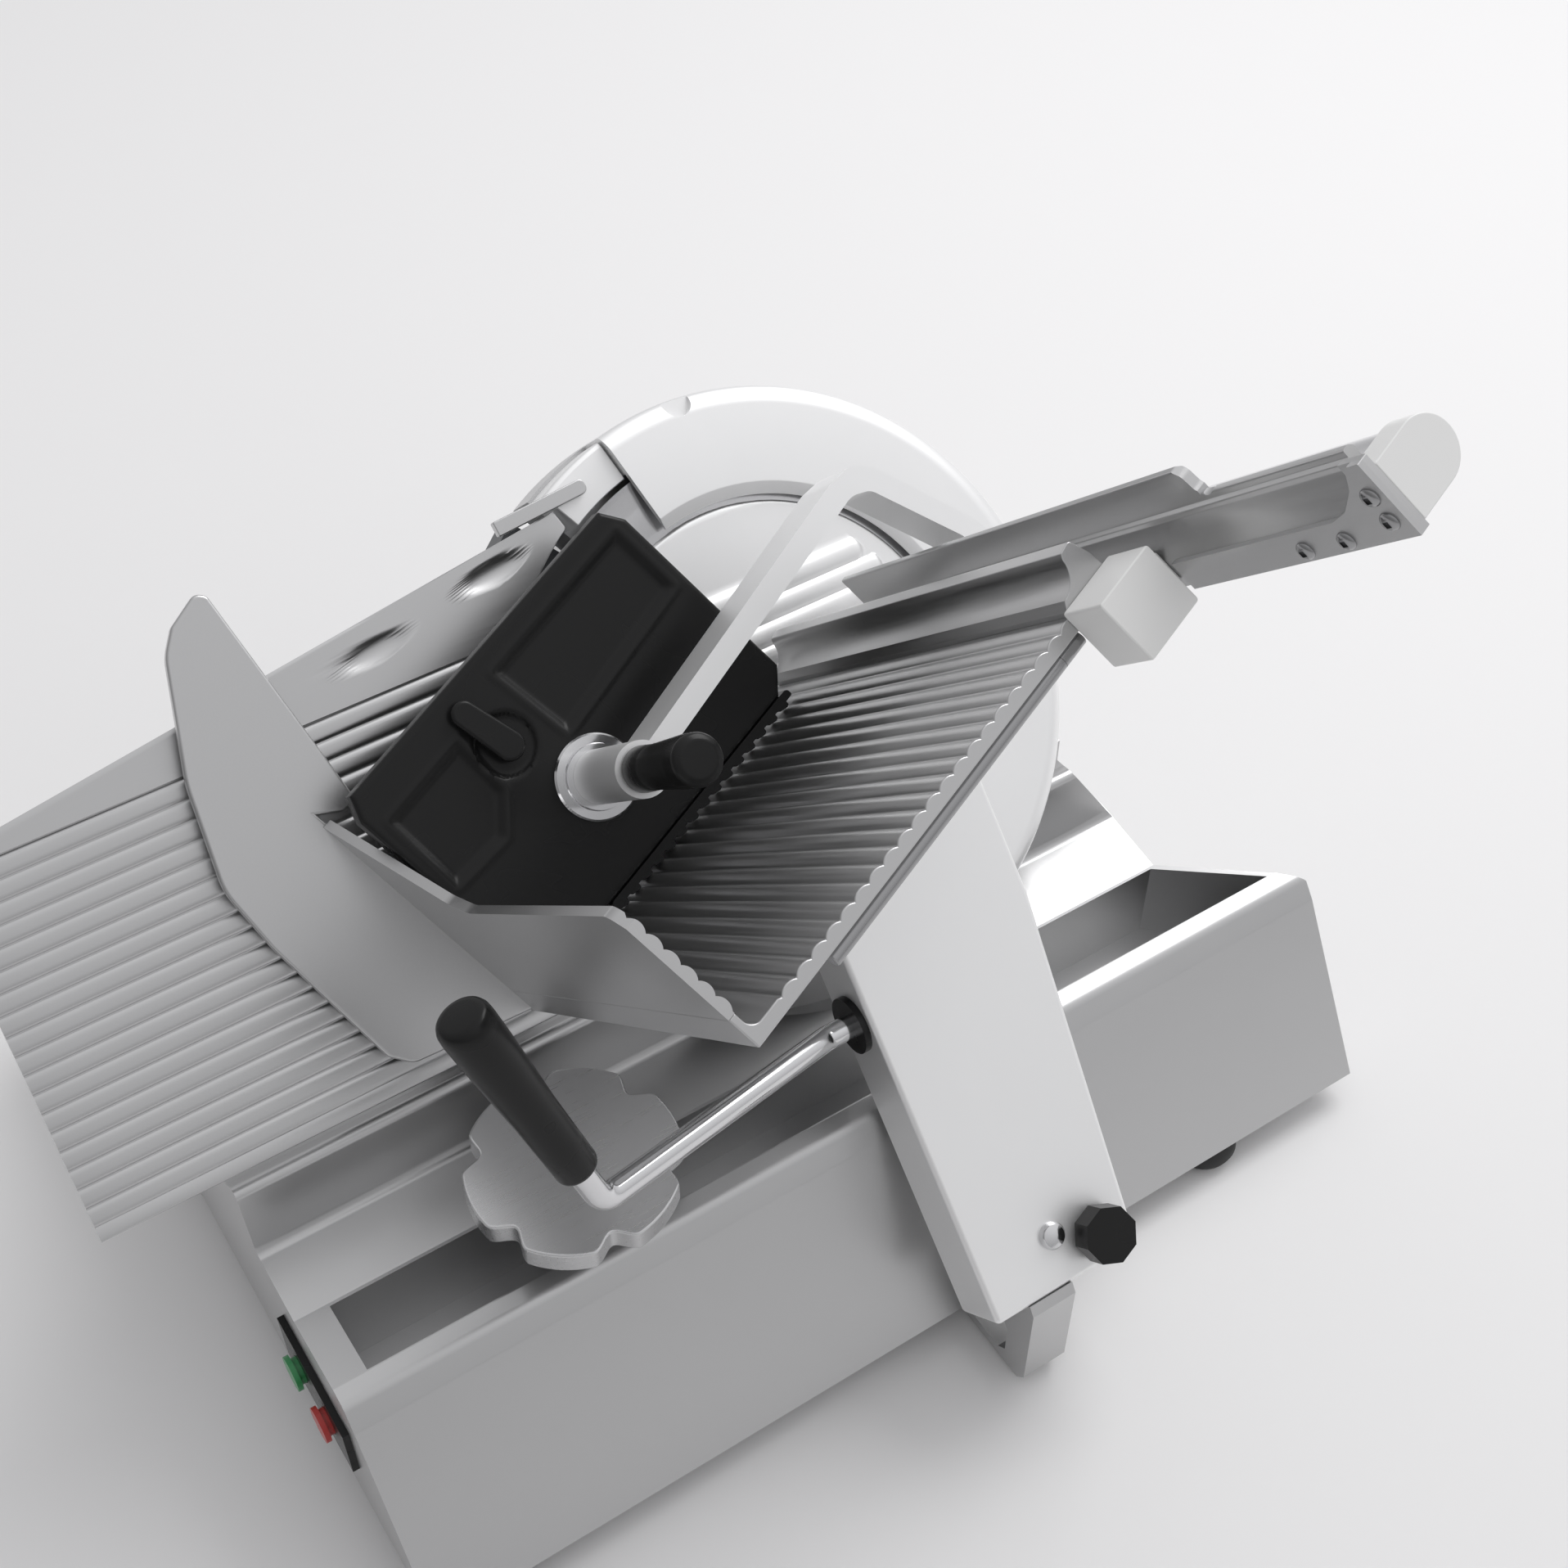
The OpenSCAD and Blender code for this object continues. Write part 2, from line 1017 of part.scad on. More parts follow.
// Flat bar from a knuckle on the slider, over the rail and down to the plate's hub
module arm_outline() {
    difference() {
        union() {
            polygon([[hub_u, hub_w - 6], [hub_u, hub_w + 6], [288, 78], [302, 77], [312, 68],
                [rod_u + 20, 2], [rod_u + 17, rod_w], [rod_u, rod_w], [rod_u + 8, 4], [302, 61],
                [296, 65]]);
            translate([rod_u, rod_w])
                circle(r = 17.4);
        }
        translate([rod_u, rod_w])
            circle(r = 13.5 + run);
    }
}

module holder_arm() {
    color("whitesmoke")
        on_table()
        chute() {
            difference() {
                union() {
                    pull(100, 138)
                        arm_outline();
                    translate([0, hub_u, hub_w])
                        disc_n(15, 68, 138);
                }
                translate([0, hub_u, hub_w])
                    disc_n(7, 60, 150);
            }
        }
}

module hub_collar() {
    color("silver")
        on_table()
        chute()
            translate([0, hub_u, hub_w])
                difference() {
                    union() {
                        disc_n(24, 60, 64);
                        disc_n(18, 64, 68 - run);
                    }
                    disc_n(7, 50, 80);
                }
}

module holder_grip() {
    color("black")
        on_table()
        chute()
            translate([0, hub_u, hub_w]) {
                disc_n(7 - run, 60, 138);
                translate([138.1, 0, 0])
                    rotate([0, 90, 0])
                        rotate_extrude()
                            polygon([[0, 0], [11, 0], [13, 2], [12, 20], [13.6, 70], [13.6, 79],
                                [11.5, 82], [0, 82]]);
            }
}

module holder_plate() {
    color("black")
        on_table()
        chute()
            difference() {
                union() {
                    pull(holder_n, 60)
                        translate([2, 8])
                            round_rect(plate_u, plate_w, 12);
                }
                // hollow under the plate and the round recess in its face
                pull(holder_n - 1, holder_n + 9)
                    translate([8, 14])
                        round_rect(plate_u - 12, plate_w - 12, 8);
                translate([0, 84, 107.5])
                    disc_n(18, 57.5, 62);
            }
}

// Strip of small teeth that run between the floor's ribs
module tooth_strip() {
    color("dimgray")
        on_table()
        chute() {
            translate([holder_n + 2, 58, 3.2])
                cube([12, 158, 4.8]);
            for (u = [62.6 : rib_pitch : 212])
                pull(holder_n + 6, holder_n + 14)
                    polygon([[u - 3.6, 3.2], [u + 3.6, 3.2], [u + 2.4, 0.5]]);
        }
}

module thumb_latch() {
    color("black")
        on_table()
        chute()
            translate([0, 84, 107.5]) {
                disc_n(5, 57.6, 66);
                translate([66, 0, 0])
                    rotate([8, 0, 0])
                        pull(0, 5) {
                            translate([-8, 0])
                                square([16, 30]);
                            translate([0, 30])
                                circle(r = 8);
                            circle(r = 8);
                        }
            }
}

// ---------- small outside parts ----------

module sharpener() {
    color("dimgray")
        on_table()
        feed()
            rotate([38, 0, 0])
                translate([housing_n[0] - 34, -22, 140])
                    cube([34, 44, 42]);
}

module receiving_tray() {
    color("silver")
        on_table()
        difference() {
            run_y(-380, -150)
                polygon([[-222, 112.1], [-84, 127.2], [-84, 142], [-222, 142]]);
            run_y(-377, -153)
                polygon([[-219, 115], [-87, 129.4], [-87, 150], [-219, 150]]);
        }
}

module switch_panel() {
    color("dimgray")
        on_table()
        difference() {
            translate([panel_x - 42, -base_front - 4, 68])
                cube([84, 4, 40]);
            for (x = [-18, 18])
                translate([panel_x + x, -base_front - 5, 88])
                    rotate([-90, 0, 0])
                        cylinder(r = 8.5, h = 12);
        }
}

module push_button(x) {
    translate([panel_x + x, -base_front - 10, 88])
        rotate([-90, 0, 0]) {
            cylinder(r = 8, h = 16);
            cylinder(r = 10.5, h = 3);
        }
}

module start_button() {
    color("green")
        on_table()
        push_button(-18);
}

module stop_button() {
    color("red")
        on_table()
        push_button(18);
}

module cord_gland() {
    color("black")
        on_table()
        translate([-110, 196, 60])
            difference() {
                union() {
                    rotate([-90, 0, 0])
                        cylinder(r = 13, h = 5);
                    rotate([-90, 0, 0])
                        cylinder(r1 = 10, r2 = 8, h = 20);
                }
                rotate([-90, 0, 0])
                    translate([0, 0, -1])
                        cylinder(r = 4.2, h = 30);
            }
}

base_housing();
base_plate();
rubber_feet();
blade_housing();
guard_ring();
side_guard();
guard_tongue();
blade();
blade_cover();
blade_spindle();
spindle_bearings();
driven_pulley();
drive_belt();
motor_pulley();
drive_motor();
motor_mount();
motor_cover();
cover_tie_rod();
cover_knob();
gauge_plate();
gauge_carrier();
gauge_bracket();
gauge_rods();
thickness_dial();
dial_collar();
dial_scroll();
slide_rod();
slide_rests();
slide_block();
slide_bushings();
carriage_foot();
carriage_column();
tilt_lock_knob();
chute_floor();
chute_side();
hand_guard();
lip_fence();
edge_rod();
mounting_block();
handle_grommet();
handle_tube();
handle_grip();
holder_rail();
rail_end_plate();
rail_screws();
rail_end_cap();
holder_rod();
holder_slider();
holder_arm();
hub_collar();
holder_grip();
holder_plate();
tooth_strip();
thumb_latch();
sharpener();
receiving_tray();
switch_panel();
start_button();
stop_button();
cord_gland();
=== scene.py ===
"""Deli meat slicer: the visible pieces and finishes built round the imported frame."""

import json
import math

import bmesh
import bpy
from mathutils import Matrix, Vector


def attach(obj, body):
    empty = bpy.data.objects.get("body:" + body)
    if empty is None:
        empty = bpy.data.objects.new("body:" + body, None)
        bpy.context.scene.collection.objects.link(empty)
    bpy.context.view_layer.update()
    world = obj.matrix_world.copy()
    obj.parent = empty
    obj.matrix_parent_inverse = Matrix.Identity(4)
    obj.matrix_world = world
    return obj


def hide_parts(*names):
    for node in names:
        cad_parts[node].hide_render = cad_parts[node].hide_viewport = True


bl_info = {
    "name": "Deli meat slicer",
    "version": (1, 0, 0),
    "blender": (4, 5, 0),
    "location": "3D View > Sidebar > Slicer",
    "description": "Builds the visible pieces of a gravity-feed meat slicer",
    "category": "Object",
}

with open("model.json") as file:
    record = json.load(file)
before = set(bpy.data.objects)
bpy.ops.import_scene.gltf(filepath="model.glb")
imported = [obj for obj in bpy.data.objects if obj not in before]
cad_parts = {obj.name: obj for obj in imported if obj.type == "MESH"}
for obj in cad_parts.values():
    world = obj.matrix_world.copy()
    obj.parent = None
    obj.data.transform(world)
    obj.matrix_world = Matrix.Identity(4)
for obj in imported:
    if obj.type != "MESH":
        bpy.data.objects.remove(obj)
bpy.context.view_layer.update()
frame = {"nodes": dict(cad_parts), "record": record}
RECORD = frame["record"]
JOINTS = {j["name"]: j for j in RECORD["behaviour"]["joints"]}
BODY_OF = {n: b for b, nodes in RECORD["behaviour"]["bodies"].items() for n in nodes}
SLOT_OF = {s["node"]: s["material_slot"] for s in RECORD["subparts"]}
TILT = math.radians(45)
ROLL = math.radians(25)
CENTRE = Vector(JOINTS["blade_spin"]["pos_m"])
MM = Matrix.Scale(0.001, 4)
# Millimetre frames. FEED: X away from the blade, Y along the travel, Z up the gauge plate.
# CHUTE: X away from the blade, Y along the chute's floor, Z up its side wall.
TABLE = Matrix.Translation((CENTRE.x, CENTRE.y, 0)) @ MM
FEED = Matrix.Translation(CENTRE) @ Matrix.Rotation(-TILT, 4, "Y") @ MM
CHUTE = FEED @ Matrix.Translation((0, -215, -89)) @ Matrix.Rotation(ROLL, 4, "X")
PI = math.pi
# Centre of the holder's rod in the chute frame
ROD = (0, 315, -18)


# ---------- settings ----------

class SlicerSizes(bpy.types.PropertyGroup):
    """Sizes of the visible detail"""
    rib_pitch: bpy.props.FloatProperty(
        name="Chute rib pitch", description="Spacing of the chute's ribs",
        default=0.0103, min=0.008, max=0.013, unit="LENGTH")
    gauge_pitch: bpy.props.FloatProperty(
        name="Gauge rib pitch", description="Spacing of the gauge plate's ribs",
        default=0.0108, min=0.008, max=0.014, unit="LENGTH")
    edge: bpy.props.FloatProperty(
        name="Edge round", description="Radius of machined edges",
        default=0.0008, min=0.0002, max=0.002, unit="LENGTH")
    arc_steps: bpy.props.IntProperty(
        name="Arc steps", description="Segments in a full turn of a turned piece",
        default=160, min=48, max=256)


class SlicerColours(bpy.types.PropertyGroup):
    """Base colours of the finishes"""
    alloy: bpy.props.FloatVectorProperty(
        name="Alloy", description="Brushed and anodised aluminium", subtype="COLOR",
        size=4, default=(0.56, 0.56, 0.562, 1), min=0, max=1)
    pale: bpy.props.FloatVectorProperty(
        name="Pale alloy", description="Bead-blasted guard and housing", subtype="COLOR",
        size=4, default=(0.93, 0.93, 0.93, 1), min=0, max=1)
    black: bpy.props.FloatVectorProperty(
        name="Black", description="Moulded black plastic", subtype="COLOR",
        size=4, default=(0.012, 0.012, 0.012, 1), min=0, max=1)
    floor: bpy.props.FloatVectorProperty(
        name="Floor", description="Backdrop and table", subtype="COLOR",
        size=4, default=(0.86, 0.855, 0.855, 1), min=0, max=1)


# ---------- shader groups ----------

def group_sockets(tree, ins, outs):
    """Adds named inputs and outputs to a shader group"""
    for name, kind, value in ins:
        socket = tree.interface.new_socket(name, in_out="INPUT", socket_type=kind)
        if value is not None:
            socket.default_value = value
    for name, kind in outs:
        tree.interface.new_socket(name, in_out="OUTPUT", socket_type=kind)


def linked(tree, kind, x, **inputs):
    """A node with its inputs filled by name, or by number as i0, i1 and so on.
    A socket is linked, and anything else is set as a value."""
    node = tree.nodes.new(kind)
    node.location = (x, 0)
    for key, value in inputs.items():
        socket = node.inputs[int(key[1:])] if key[0] == "i" and key[1:].isdigit() else node.inputs[key]
        if isinstance(value, bpy.types.NodeSocket):
            tree.links.new(value, socket)
        else:
            socket.default_value = value
    return node


def new_group(name, ins, outs):
    """A shader group with its sockets, ready to be filled"""
    tree = bpy.data.node_groups.new(name, "ShaderNodeTree")
    group_sockets(tree, ins, outs)
    gin = tree.nodes.new("NodeGroupInput")
    gout = tree.nodes.new("NodeGroupOutput")
    return tree, gin.outputs, gout.inputs


def maths(tree, op, a, b):
    """The result of a Math node on two values or sockets"""
    node = linked(tree, "ShaderNodeMath", 0, i0=a, i1=b)
    node.operation = op
    return node.outputs[0]


def brushing_group():
    """Fine streaks along one direction, with soft patches where the light pools"""
    tree, gin, gout = new_group(
        "Brushing",
        [("Stretch", "NodeSocketVector", (1, 1, 1)), ("Turn", "NodeSocketVector", (0, 0, 0)),
         ("Colour", "NodeSocketColor", None), ("Roughness", "NodeSocketFloat", 0.35),
         ("Streaks", "NodeSocketFloat", 0.08)],
        [("Colour", "NodeSocketColor"), ("Roughness", "NodeSocketFloat"), ("Height", "NodeSocketFloat")])
    where = linked(tree, "ShaderNodeTexCoord", -800).outputs["Object"]
    turned = linked(tree, "ShaderNodeMapping", -600, Vector=where, Rotation=gin["Turn"])
    lay = linked(tree, "ShaderNodeMapping", -500, Vector=turned.outputs[0], Scale=gin["Stretch"])
    fine = linked(tree, "ShaderNodeTexNoise", -300, Vector=lay.outputs[0], Scale=900.0, Detail=3.0)
    soft = linked(tree, "ShaderNodeTexNoise", -300, Vector=where, Scale=9.0, Detail=2.0)
    streak = maths(tree, "SUBTRACT", fine.outputs[0], 0.5)
    amount = maths(tree, "MULTIPLY", streak, gin["Streaks"])
    patch = maths(tree, "MULTIPLY", maths(tree, "SUBTRACT", soft.outputs[0], 0.5), 0.10)
    tree.links.new(maths(tree, "ADD", maths(tree, "ADD", gin["Roughness"], amount), patch), gout["Roughness"])
    tone = maths(tree, "ADD", maths(tree, "MULTIPLY", amount, 0.35), 1.0)
    tint = linked(tree, "ShaderNodeVectorMath", 0, i0=gin["Colour"], i3=tone)
    tint.operation = "SCALE"
    tree.links.new(tint.outputs[0], gout["Colour"])
    tree.links.new(fine.outputs[0], gout["Height"])
    return tree


def grain_group():
    """Even fine pebbling of blasted metal or moulded plastic, with faint handling marks"""
    tree, gin, gout = new_group(
        "Grain",
        [("Size", "NodeSocketFloat", 900.0), ("Colour", "NodeSocketColor", None),
         ("Roughness", "NodeSocketFloat", 0.4), ("Marks", "NodeSocketFloat", 0.08)],
        [("Colour", "NodeSocketColor"), ("Roughness", "NodeSocketFloat"), ("Height", "NodeSocketFloat")])
    where = linked(tree, "ShaderNodeTexCoord", -800).outputs["Object"]
    grit = linked(tree, "ShaderNodeTexNoise", -400, Vector=where, Scale=gin["Size"], Detail=2.0)
    soft = linked(tree, "ShaderNodeTexNoise", -400, Vector=where, Scale=14.0, Detail=3.0, Distortion=0.6)
    mark = maths(tree, "MULTIPLY", maths(tree, "SUBTRACT", soft.outputs[0], 0.5), gin["Marks"])
    tree.links.new(maths(tree, "ADD", gin["Roughness"], mark), gout["Roughness"])
    tone = maths(tree, "ADD", maths(tree, "MULTIPLY", mark, 0.3), 1.0)
    tint = linked(tree, "ShaderNodeVectorMath", 0, i0=gin["Colour"], i3=tone)
    tint.operation = "SCALE"
    tree.links.new(tint.outputs[0], gout["Colour"])
    tree.links.new(grit.outputs[0], gout["Height"])
    return tree


GROUPS = {}
FINISH = {}


def finish(slot, group, colour, metal, bump, coat=0.0, specular=0.5, **values):
    """One material: a shader with a shared group's colour, roughness and bump"""
    mat = bpy.data.materials.new(slot)
    mat.use_nodes = True
    tree = mat.node_tree
    shader = tree.nodes["Principled BSDF"]
    effect = tree.nodes.new("ShaderNodeGroup")
    effect.node_tree = GROUPS[group]
    effect.location = (-500, 0)
    effect.inputs["Colour"].default_value = (*colour[:3], 1)
    for key, value in values.items():
        effect.inputs[key.replace("_", " ")].default_value = value
    tree.links.new(effect.outputs["Colour"], shader.inputs["Base Color"])
    tree.links.new(effect.outputs["Roughness"], shader.inputs["Roughness"])
    shader.inputs["Metallic"].default_value = metal
    shader.inputs["Specular IOR Level"].default_value = specular
    shader.inputs["Coat Weight"].default_value = coat
    shader.inputs["Coat Roughness"].default_value = 0.25
    relief = linked(tree, "ShaderNodeBump", -250, Height=effect.outputs["Height"], Strength=bump,
                    Distance=0.0002)
    tree.links.new(relief.outputs[0], shader.inputs["Normal"])
    FINISH[slot] = mat
    return mat


# ---------- making meshes ----------

def rounded(points, steps=6):
    """Closed outline with its corners rounded: a point may carry its own radius"""
    out = []
    count = len(points)
    for i, point in enumerate(points):
        here = Vector(point[:2])
        radius = point[2] if len(point) > 2 else 0
        before = (Vector(points[i - 1][:2]) - here)
        after = (Vector(points[(i + 1) % count][:2]) - here)
        if radius <= 0:
            out.append(tuple(here))
            continue
        angle = before.angle(after)
        reach = min(radius / math.tan(angle / 2), before.length * 0.49, after.length * 0.49)
        radius = reach * math.tan(angle / 2)
        inward = (before.normalized() + after.normalized()).normalized()
        middle = here + inward * (radius / math.sin(angle / 2))
        first = here + before.normalized() * reach - middle
        last = here + after.normalized() * reach - middle
        turn = first.angle_signed(last)
        for k in range(steps + 1):
            spoke = first.copy()
            spoke.rotate(Matrix.Rotation(-turn * k / steps, 2))
            out.append(tuple(middle + spoke))
    return out


def piece(name, mesh, node, slot=None):
    """Puts a finished mesh in the scene in place of a frame node"""
    ob = bpy.data.objects.new(name, mesh)
    bpy.context.collection.objects.link(ob)
    slot = slot or SLOT_OF[node]
    ob.data.materials.clear()
    ob.data.materials.append(FINISH[slot])
    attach(ob, BODY_OF[node])
    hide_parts(node)
    return ob


def to_mesh(name, bm, place, smooth=35):
    """Cleans a bmesh, sets it in a frame and makes a smooth-shaded mesh of it"""
    bmesh.ops.remove_doubles(bm, verts=bm.verts, dist=1e-4)
    bmesh.ops.recalc_face_normals(bm, faces=bm.faces)
    bmesh.ops.transform(bm, matrix=place, verts=bm.verts)
    mesh = bpy.data.meshes.new(name)
    bm.to_mesh(mesh)
    bm.free()
    mesh.shade_smooth()
    mesh.set_sharp_from_angle(angle=math.radians(smooth))
    return mesh


def soften(ob, width, segments=3, angle=32):
    """Rounds the machined edges of a piece"""
    bevel = ob.modifiers.new("edges", "BEVEL")
    bevel.width = width
    bevel.segments = segments
    bevel.limit_method = "ANGLE"
    bevel.angle_limit = math.radians(angle)
    bevel.harden_normals = True
    bevel.use_clamp_overlap = True
    return ob


def join_loops(bm, one, two):
    """Closed solid between two matching loops of points"""
    start = [bm.verts.new(point) for point in one]
    end = [bm.verts.new(point) for point in two]
    bm.faces.new(start)
    bm.faces.new(list(reversed(end)))
    for i in range(len(start)):
        j = (i + 1) % len(start)
        bm.faces.new((start[i], end[i], end[j], start[j]))


def add_prism(bm, outline, n0, n1):
    """Outline in Y-Z, pulled along X"""
    join_loops(bm, [(n0, a, b) for a, b in outline], [(n1, a, b) for a, b in outline])


def add_along_y(bm, outline, y0, y1):
    """Outline in X-Z, pulled along Y"""
    join_loops(bm, [(a, y0, b) for a, b in outline], [(a, y1, b) for a, b in outline])


def add_upright(bm, outline, low, high):
    """Outline in X-Y, pulled along Z"""
    join_loops(bm, [(a, b, low) for a, b in outline], [(a, b, high) for a, b in outline])


def slab(name, outline, n0, n1, place, smooth=35):
    """Mesh of one outline in Y-Z, pulled along X and set in a frame"""
    bm = bmesh.new()
    add_prism(bm, outline, n0, n1)
    return to_mesh(name, bm, place, smooth)


def add_lathe(bm, profile, centre=(0, 0, 0), a0=0.0, a1=2 * PI, steps=96):
    """Closed profile of (radius, x) turned about the X axis through centre"""
    whole = abs(a1 - a0) > 2 * PI - 1e-6
    rows = []
    for k in range(steps if whole else steps + 1):
        a = a0 + (a1 - a0) * k / steps
        rows.append([bm.verts.new((centre[0] + x, centre[1] + r * math.cos(a), centre[2] + r * math.sin(a)))
                     for r, x in profile])
    count = len(profile)
    for k in range(steps):
        one, two = rows[k], rows[(k + 1) % len(rows)]
        for i in range(count):
            j = (i + 1) % count
            if profile[i][0] < 1e-6 and profile[j][0] < 1e-6:
                continue
            if profile[i][0] < 1e-6:
                bm.faces.new((one[i], two[j], one[j]))
            elif profile[j][0] < 1e-6:
                bm.faces.new((one[i], two[i], one[j]))
            else:
                bm.faces.new((one[i], two[i], two[j], one[j]))
    if not whole:
        bm.faces.new(rows[0])
        bm.faces.new(list(reversed(rows[-1])))


def lathe(name, profile, place, centre=(0, 0, 0), a0=0.0, a1=2 * PI, steps=96, smooth=35):
    """Mesh of one turned profile, set in a frame"""
    bm = bmesh.new()
    add_lathe(bm, profile, centre, a0, a1, steps)
    return to_mesh(name, bm, place, smooth)


def add_pipe(bm, path, radii, around=24):
    """Round bar along a path, with a radius at each point"""
    rings = []
    side = None
    for i, here in enumerate(path):
        ahead = (path[min(i + 1, len(path) - 1)] - path[max(i - 1, 0)]).normalized()
        if side is None:
            side = ahead.orthogonal().normalized()
        side = (side - ahead * side.dot(ahead)).normalized()
        other = ahead.cross(side)
        rings.append([bm.verts.new(here + radii[i] * (side * math.cos(2 * PI * k / around)
                                                     + other * math.sin(2 * PI * k / around)))
                      for k in range(around)])
    for one, two in zip(rings, rings[1:]):
        for k in range(around):
            j = (k + 1) % around
            bm.faces.new((one[k], one[j], two[j], two[k]))
    bm.faces.new(list(reversed(rings[0])))
    bm.faces.new(rings[-1])


def bent(points, radius, steps=10):
    """Path through corner points with each corner bent to a radius"""
    out = [points[0]]
    for before, here, after in zip(points, points[1:], points[2:]):
        a, b = (before - here), (after - here)
        angle = a.angle(b)
        reach = min(radius / math.tan(angle / 2), a.length * 0.45, b.length * 0.45)
        one, two = here + a.normalized() * reach, here + b.normalized() * reach
        for k in range(steps + 1):
            t = k / steps
            out.append(one * (1 - t) ** 2 + here * 2 * t * (1 - t) + two * t ** 2)
    out.append(points[-1])
    return out


def sheet_relief(name, rows, ends, columns, relief, back, place):
    """Relief-faced plate. rows are Z values, ends(z) gives the left and right Y of a row,
    columns are 0..1 across it, relief(y, z) is the face's X, and back is the rear face's X."""
    bm = bmesh.new()
    grid = []
    for z in rows:
        y0, y1 = ends(z)
        line = []
        for t in columns:
            y = y0 + (y1 - y0) * t
            line.append(bm.verts.new((relief(y, z), y, z)))
        grid.append(line)
    for i in range(len(grid) - 1):
        for j in range(len(columns) - 1):
            bm.faces.new((grid[i][j], grid[i][j + 1], grid[i + 1][j + 1], grid[i + 1][j]))
    rim = (grid[0] + [g[-1] for g in grid[1:-1]] + list(reversed(grid[-1]))
           + [g[0] for g in reversed(grid[1:-1])])
    behind = [bm.verts.new((back, v.co.y, v.co.z)) for v in rim]
    count = len(rim)
    for i in range(count):
        j = (i + 1) % count
        bm.faces.new((rim[i], rim[j], behind[j], behind[i]))
    bm.faces.new(behind)
    return to_mesh(name, bm, place, 40)


def carve(ob, cutter_mesh, operation="DIFFERENCE"):
    """Cuts one mesh with another and keeps the result"""
    cutter = bpy.data.objects.new("cutter", cutter_mesh)
    bpy.context.collection.objects.link(cutter)
    cut = ob.modifiers.new("cut", "BOOLEAN")
    cut.operation = operation
    cut.object = cutter
    cut.solver = "EXACT"
    bpy.context.view_layer.update()
    done = bpy.data.meshes.new_from_object(ob.evaluated_get(bpy.context.evaluated_depsgraph_get()))
    ob.modifiers.clear()
    old = ob.data
    ob.data = done
    bpy.data.meshes.remove(old)
    bpy.data.objects.remove(cutter)
    ob.data.shade_smooth()
    ob.data.set_sharp_from_angle(angle=math.radians(35))
    return ob


def arc_points(centre, radius, a0, a1, steps):
    """Points on an arc, both ends included"""
    return [(centre[0] + radius * math.cos(a0 + (a1 - a0) * k / steps),
             centre[1] + radius * math.sin(a0 + (a1 - a0) * k / steps)) for k in range(steps + 1)]


def smoothstep(value):
    """Eases a value from 0 to 1"""
    value = min(max(value, 0.0), 1.0)
    return value * value * (3 - 2 * value)


def between(a, b, count):
    """Evenly spaced values, both ends included"""
    return [a + (b - a) * k / count for k in range(count + 1)]


# ---------- the gauge plate ----------

GAUGE_LEFT, GAUGE_LOW, BAND = -470.0, -109.0, 91.5
EDGE_R = 163.0
DIMPLES = ((-135, 132), (-214, 117))


def gauge_top(y):
    """Height of the plate's slanted upper edge"""
    return 103 + (y + 462) * 40 / 311


def gauge_plate(sizes):
    """Ribbed gauge plate with its hollow blade-side edge and two finger dimples"""
    pitch = sizes.gauge_pitch * 1000
    first = GAUGE_LOW + 8 + pitch / 2

    def ends(z):
        right = -math.sqrt(max(EDGE_R ** 2 - min(z, 151) ** 2, 30 ** 2))
        left = GAUGE_LEFT
        if z > 95:
            left = max(GAUGE_LEFT, -462 + (z - 103) * 311 / 40)
        return left, min(right, -60 - abs(z - 60) * 0.3)

    def relief(y, z):
        y0, y1 = ends(z)
        x = 0.0
        index = round((z - first) / pitch)
        if 0 <= index <= 17 and z < BAND + 2:
            middle = first + index * pitch
            stop = ends(middle)[1] - 9
            across = (z - middle) / (pitch / 2)
            along = min(1.0, max(0.0, (stop - y) / 6 + 0.5)) if y > stop - 6 else 1.0
            crest = math.sqrt(max(0.0, 1 - across ** 4))
            full = smoothstep(along)
            x = -1.5 + 2.0 * crest * full
            if y > stop - 3:
                x += 1.5 * (1 - full)
            x = min(x, 0.6)
        for cy, cz in DIMPLES:
            lean = math.radians(7)
            dy, dz = y - cy, z - cz
            a = dy * math.cos(lean) + dz * math.sin(lean)
            b = -dy * math.sin(lean) + dz * math.cos(lean)
            inside = 1 - (a / 22) ** 2 - (b / 7) ** 2
            if inside > 0:
                x = min(x, -2.6 * math.sqrt(inside) * inside ** 0.25)
        edge = min(y1 - y, y - y0, z - GAUGE_LOW)
        if edge < 1.0:
            x -= 0.7 * (1 - edge) ** 2
        return x

    rows = [GAUGE_LOW, GAUGE_LOW + 0.5, GAUGE_LOW + 1.2, GAUGE_LOW + 6]
    for k in range(18):
        rows += [GAUGE_LOW + 8 + pitch * (k + s) for s in (0.02, 0.1, 0.2, 0.32, 0.5, 0.68, 0.8, 0.9, 0.98)]
    rows = sorted(rows) + between(BAND + 0.4, 151, 40)
    columns = sorted(set(between(0, 0.5, 10) + between(0.5, 0.99, 90) + between(0.9, 1, 30)))
    mesh = sheet_relief("gauge_face", rows, ends, columns, relief, -9, FEED)
    piece("gauge_face", mesh, "gauge_plate")


# ---------- blade, guard and cover ----------

def ring_profile():
    """Section of the guard ring, as (radius, height) points"""
    return rounded([(160, -28), (186, -28, 1), (186, 0, 7), (178, 5, 14), (128, 5, 2.5), (118.5, 1.0, 0.6),
                    (160, 0.8)], 6)


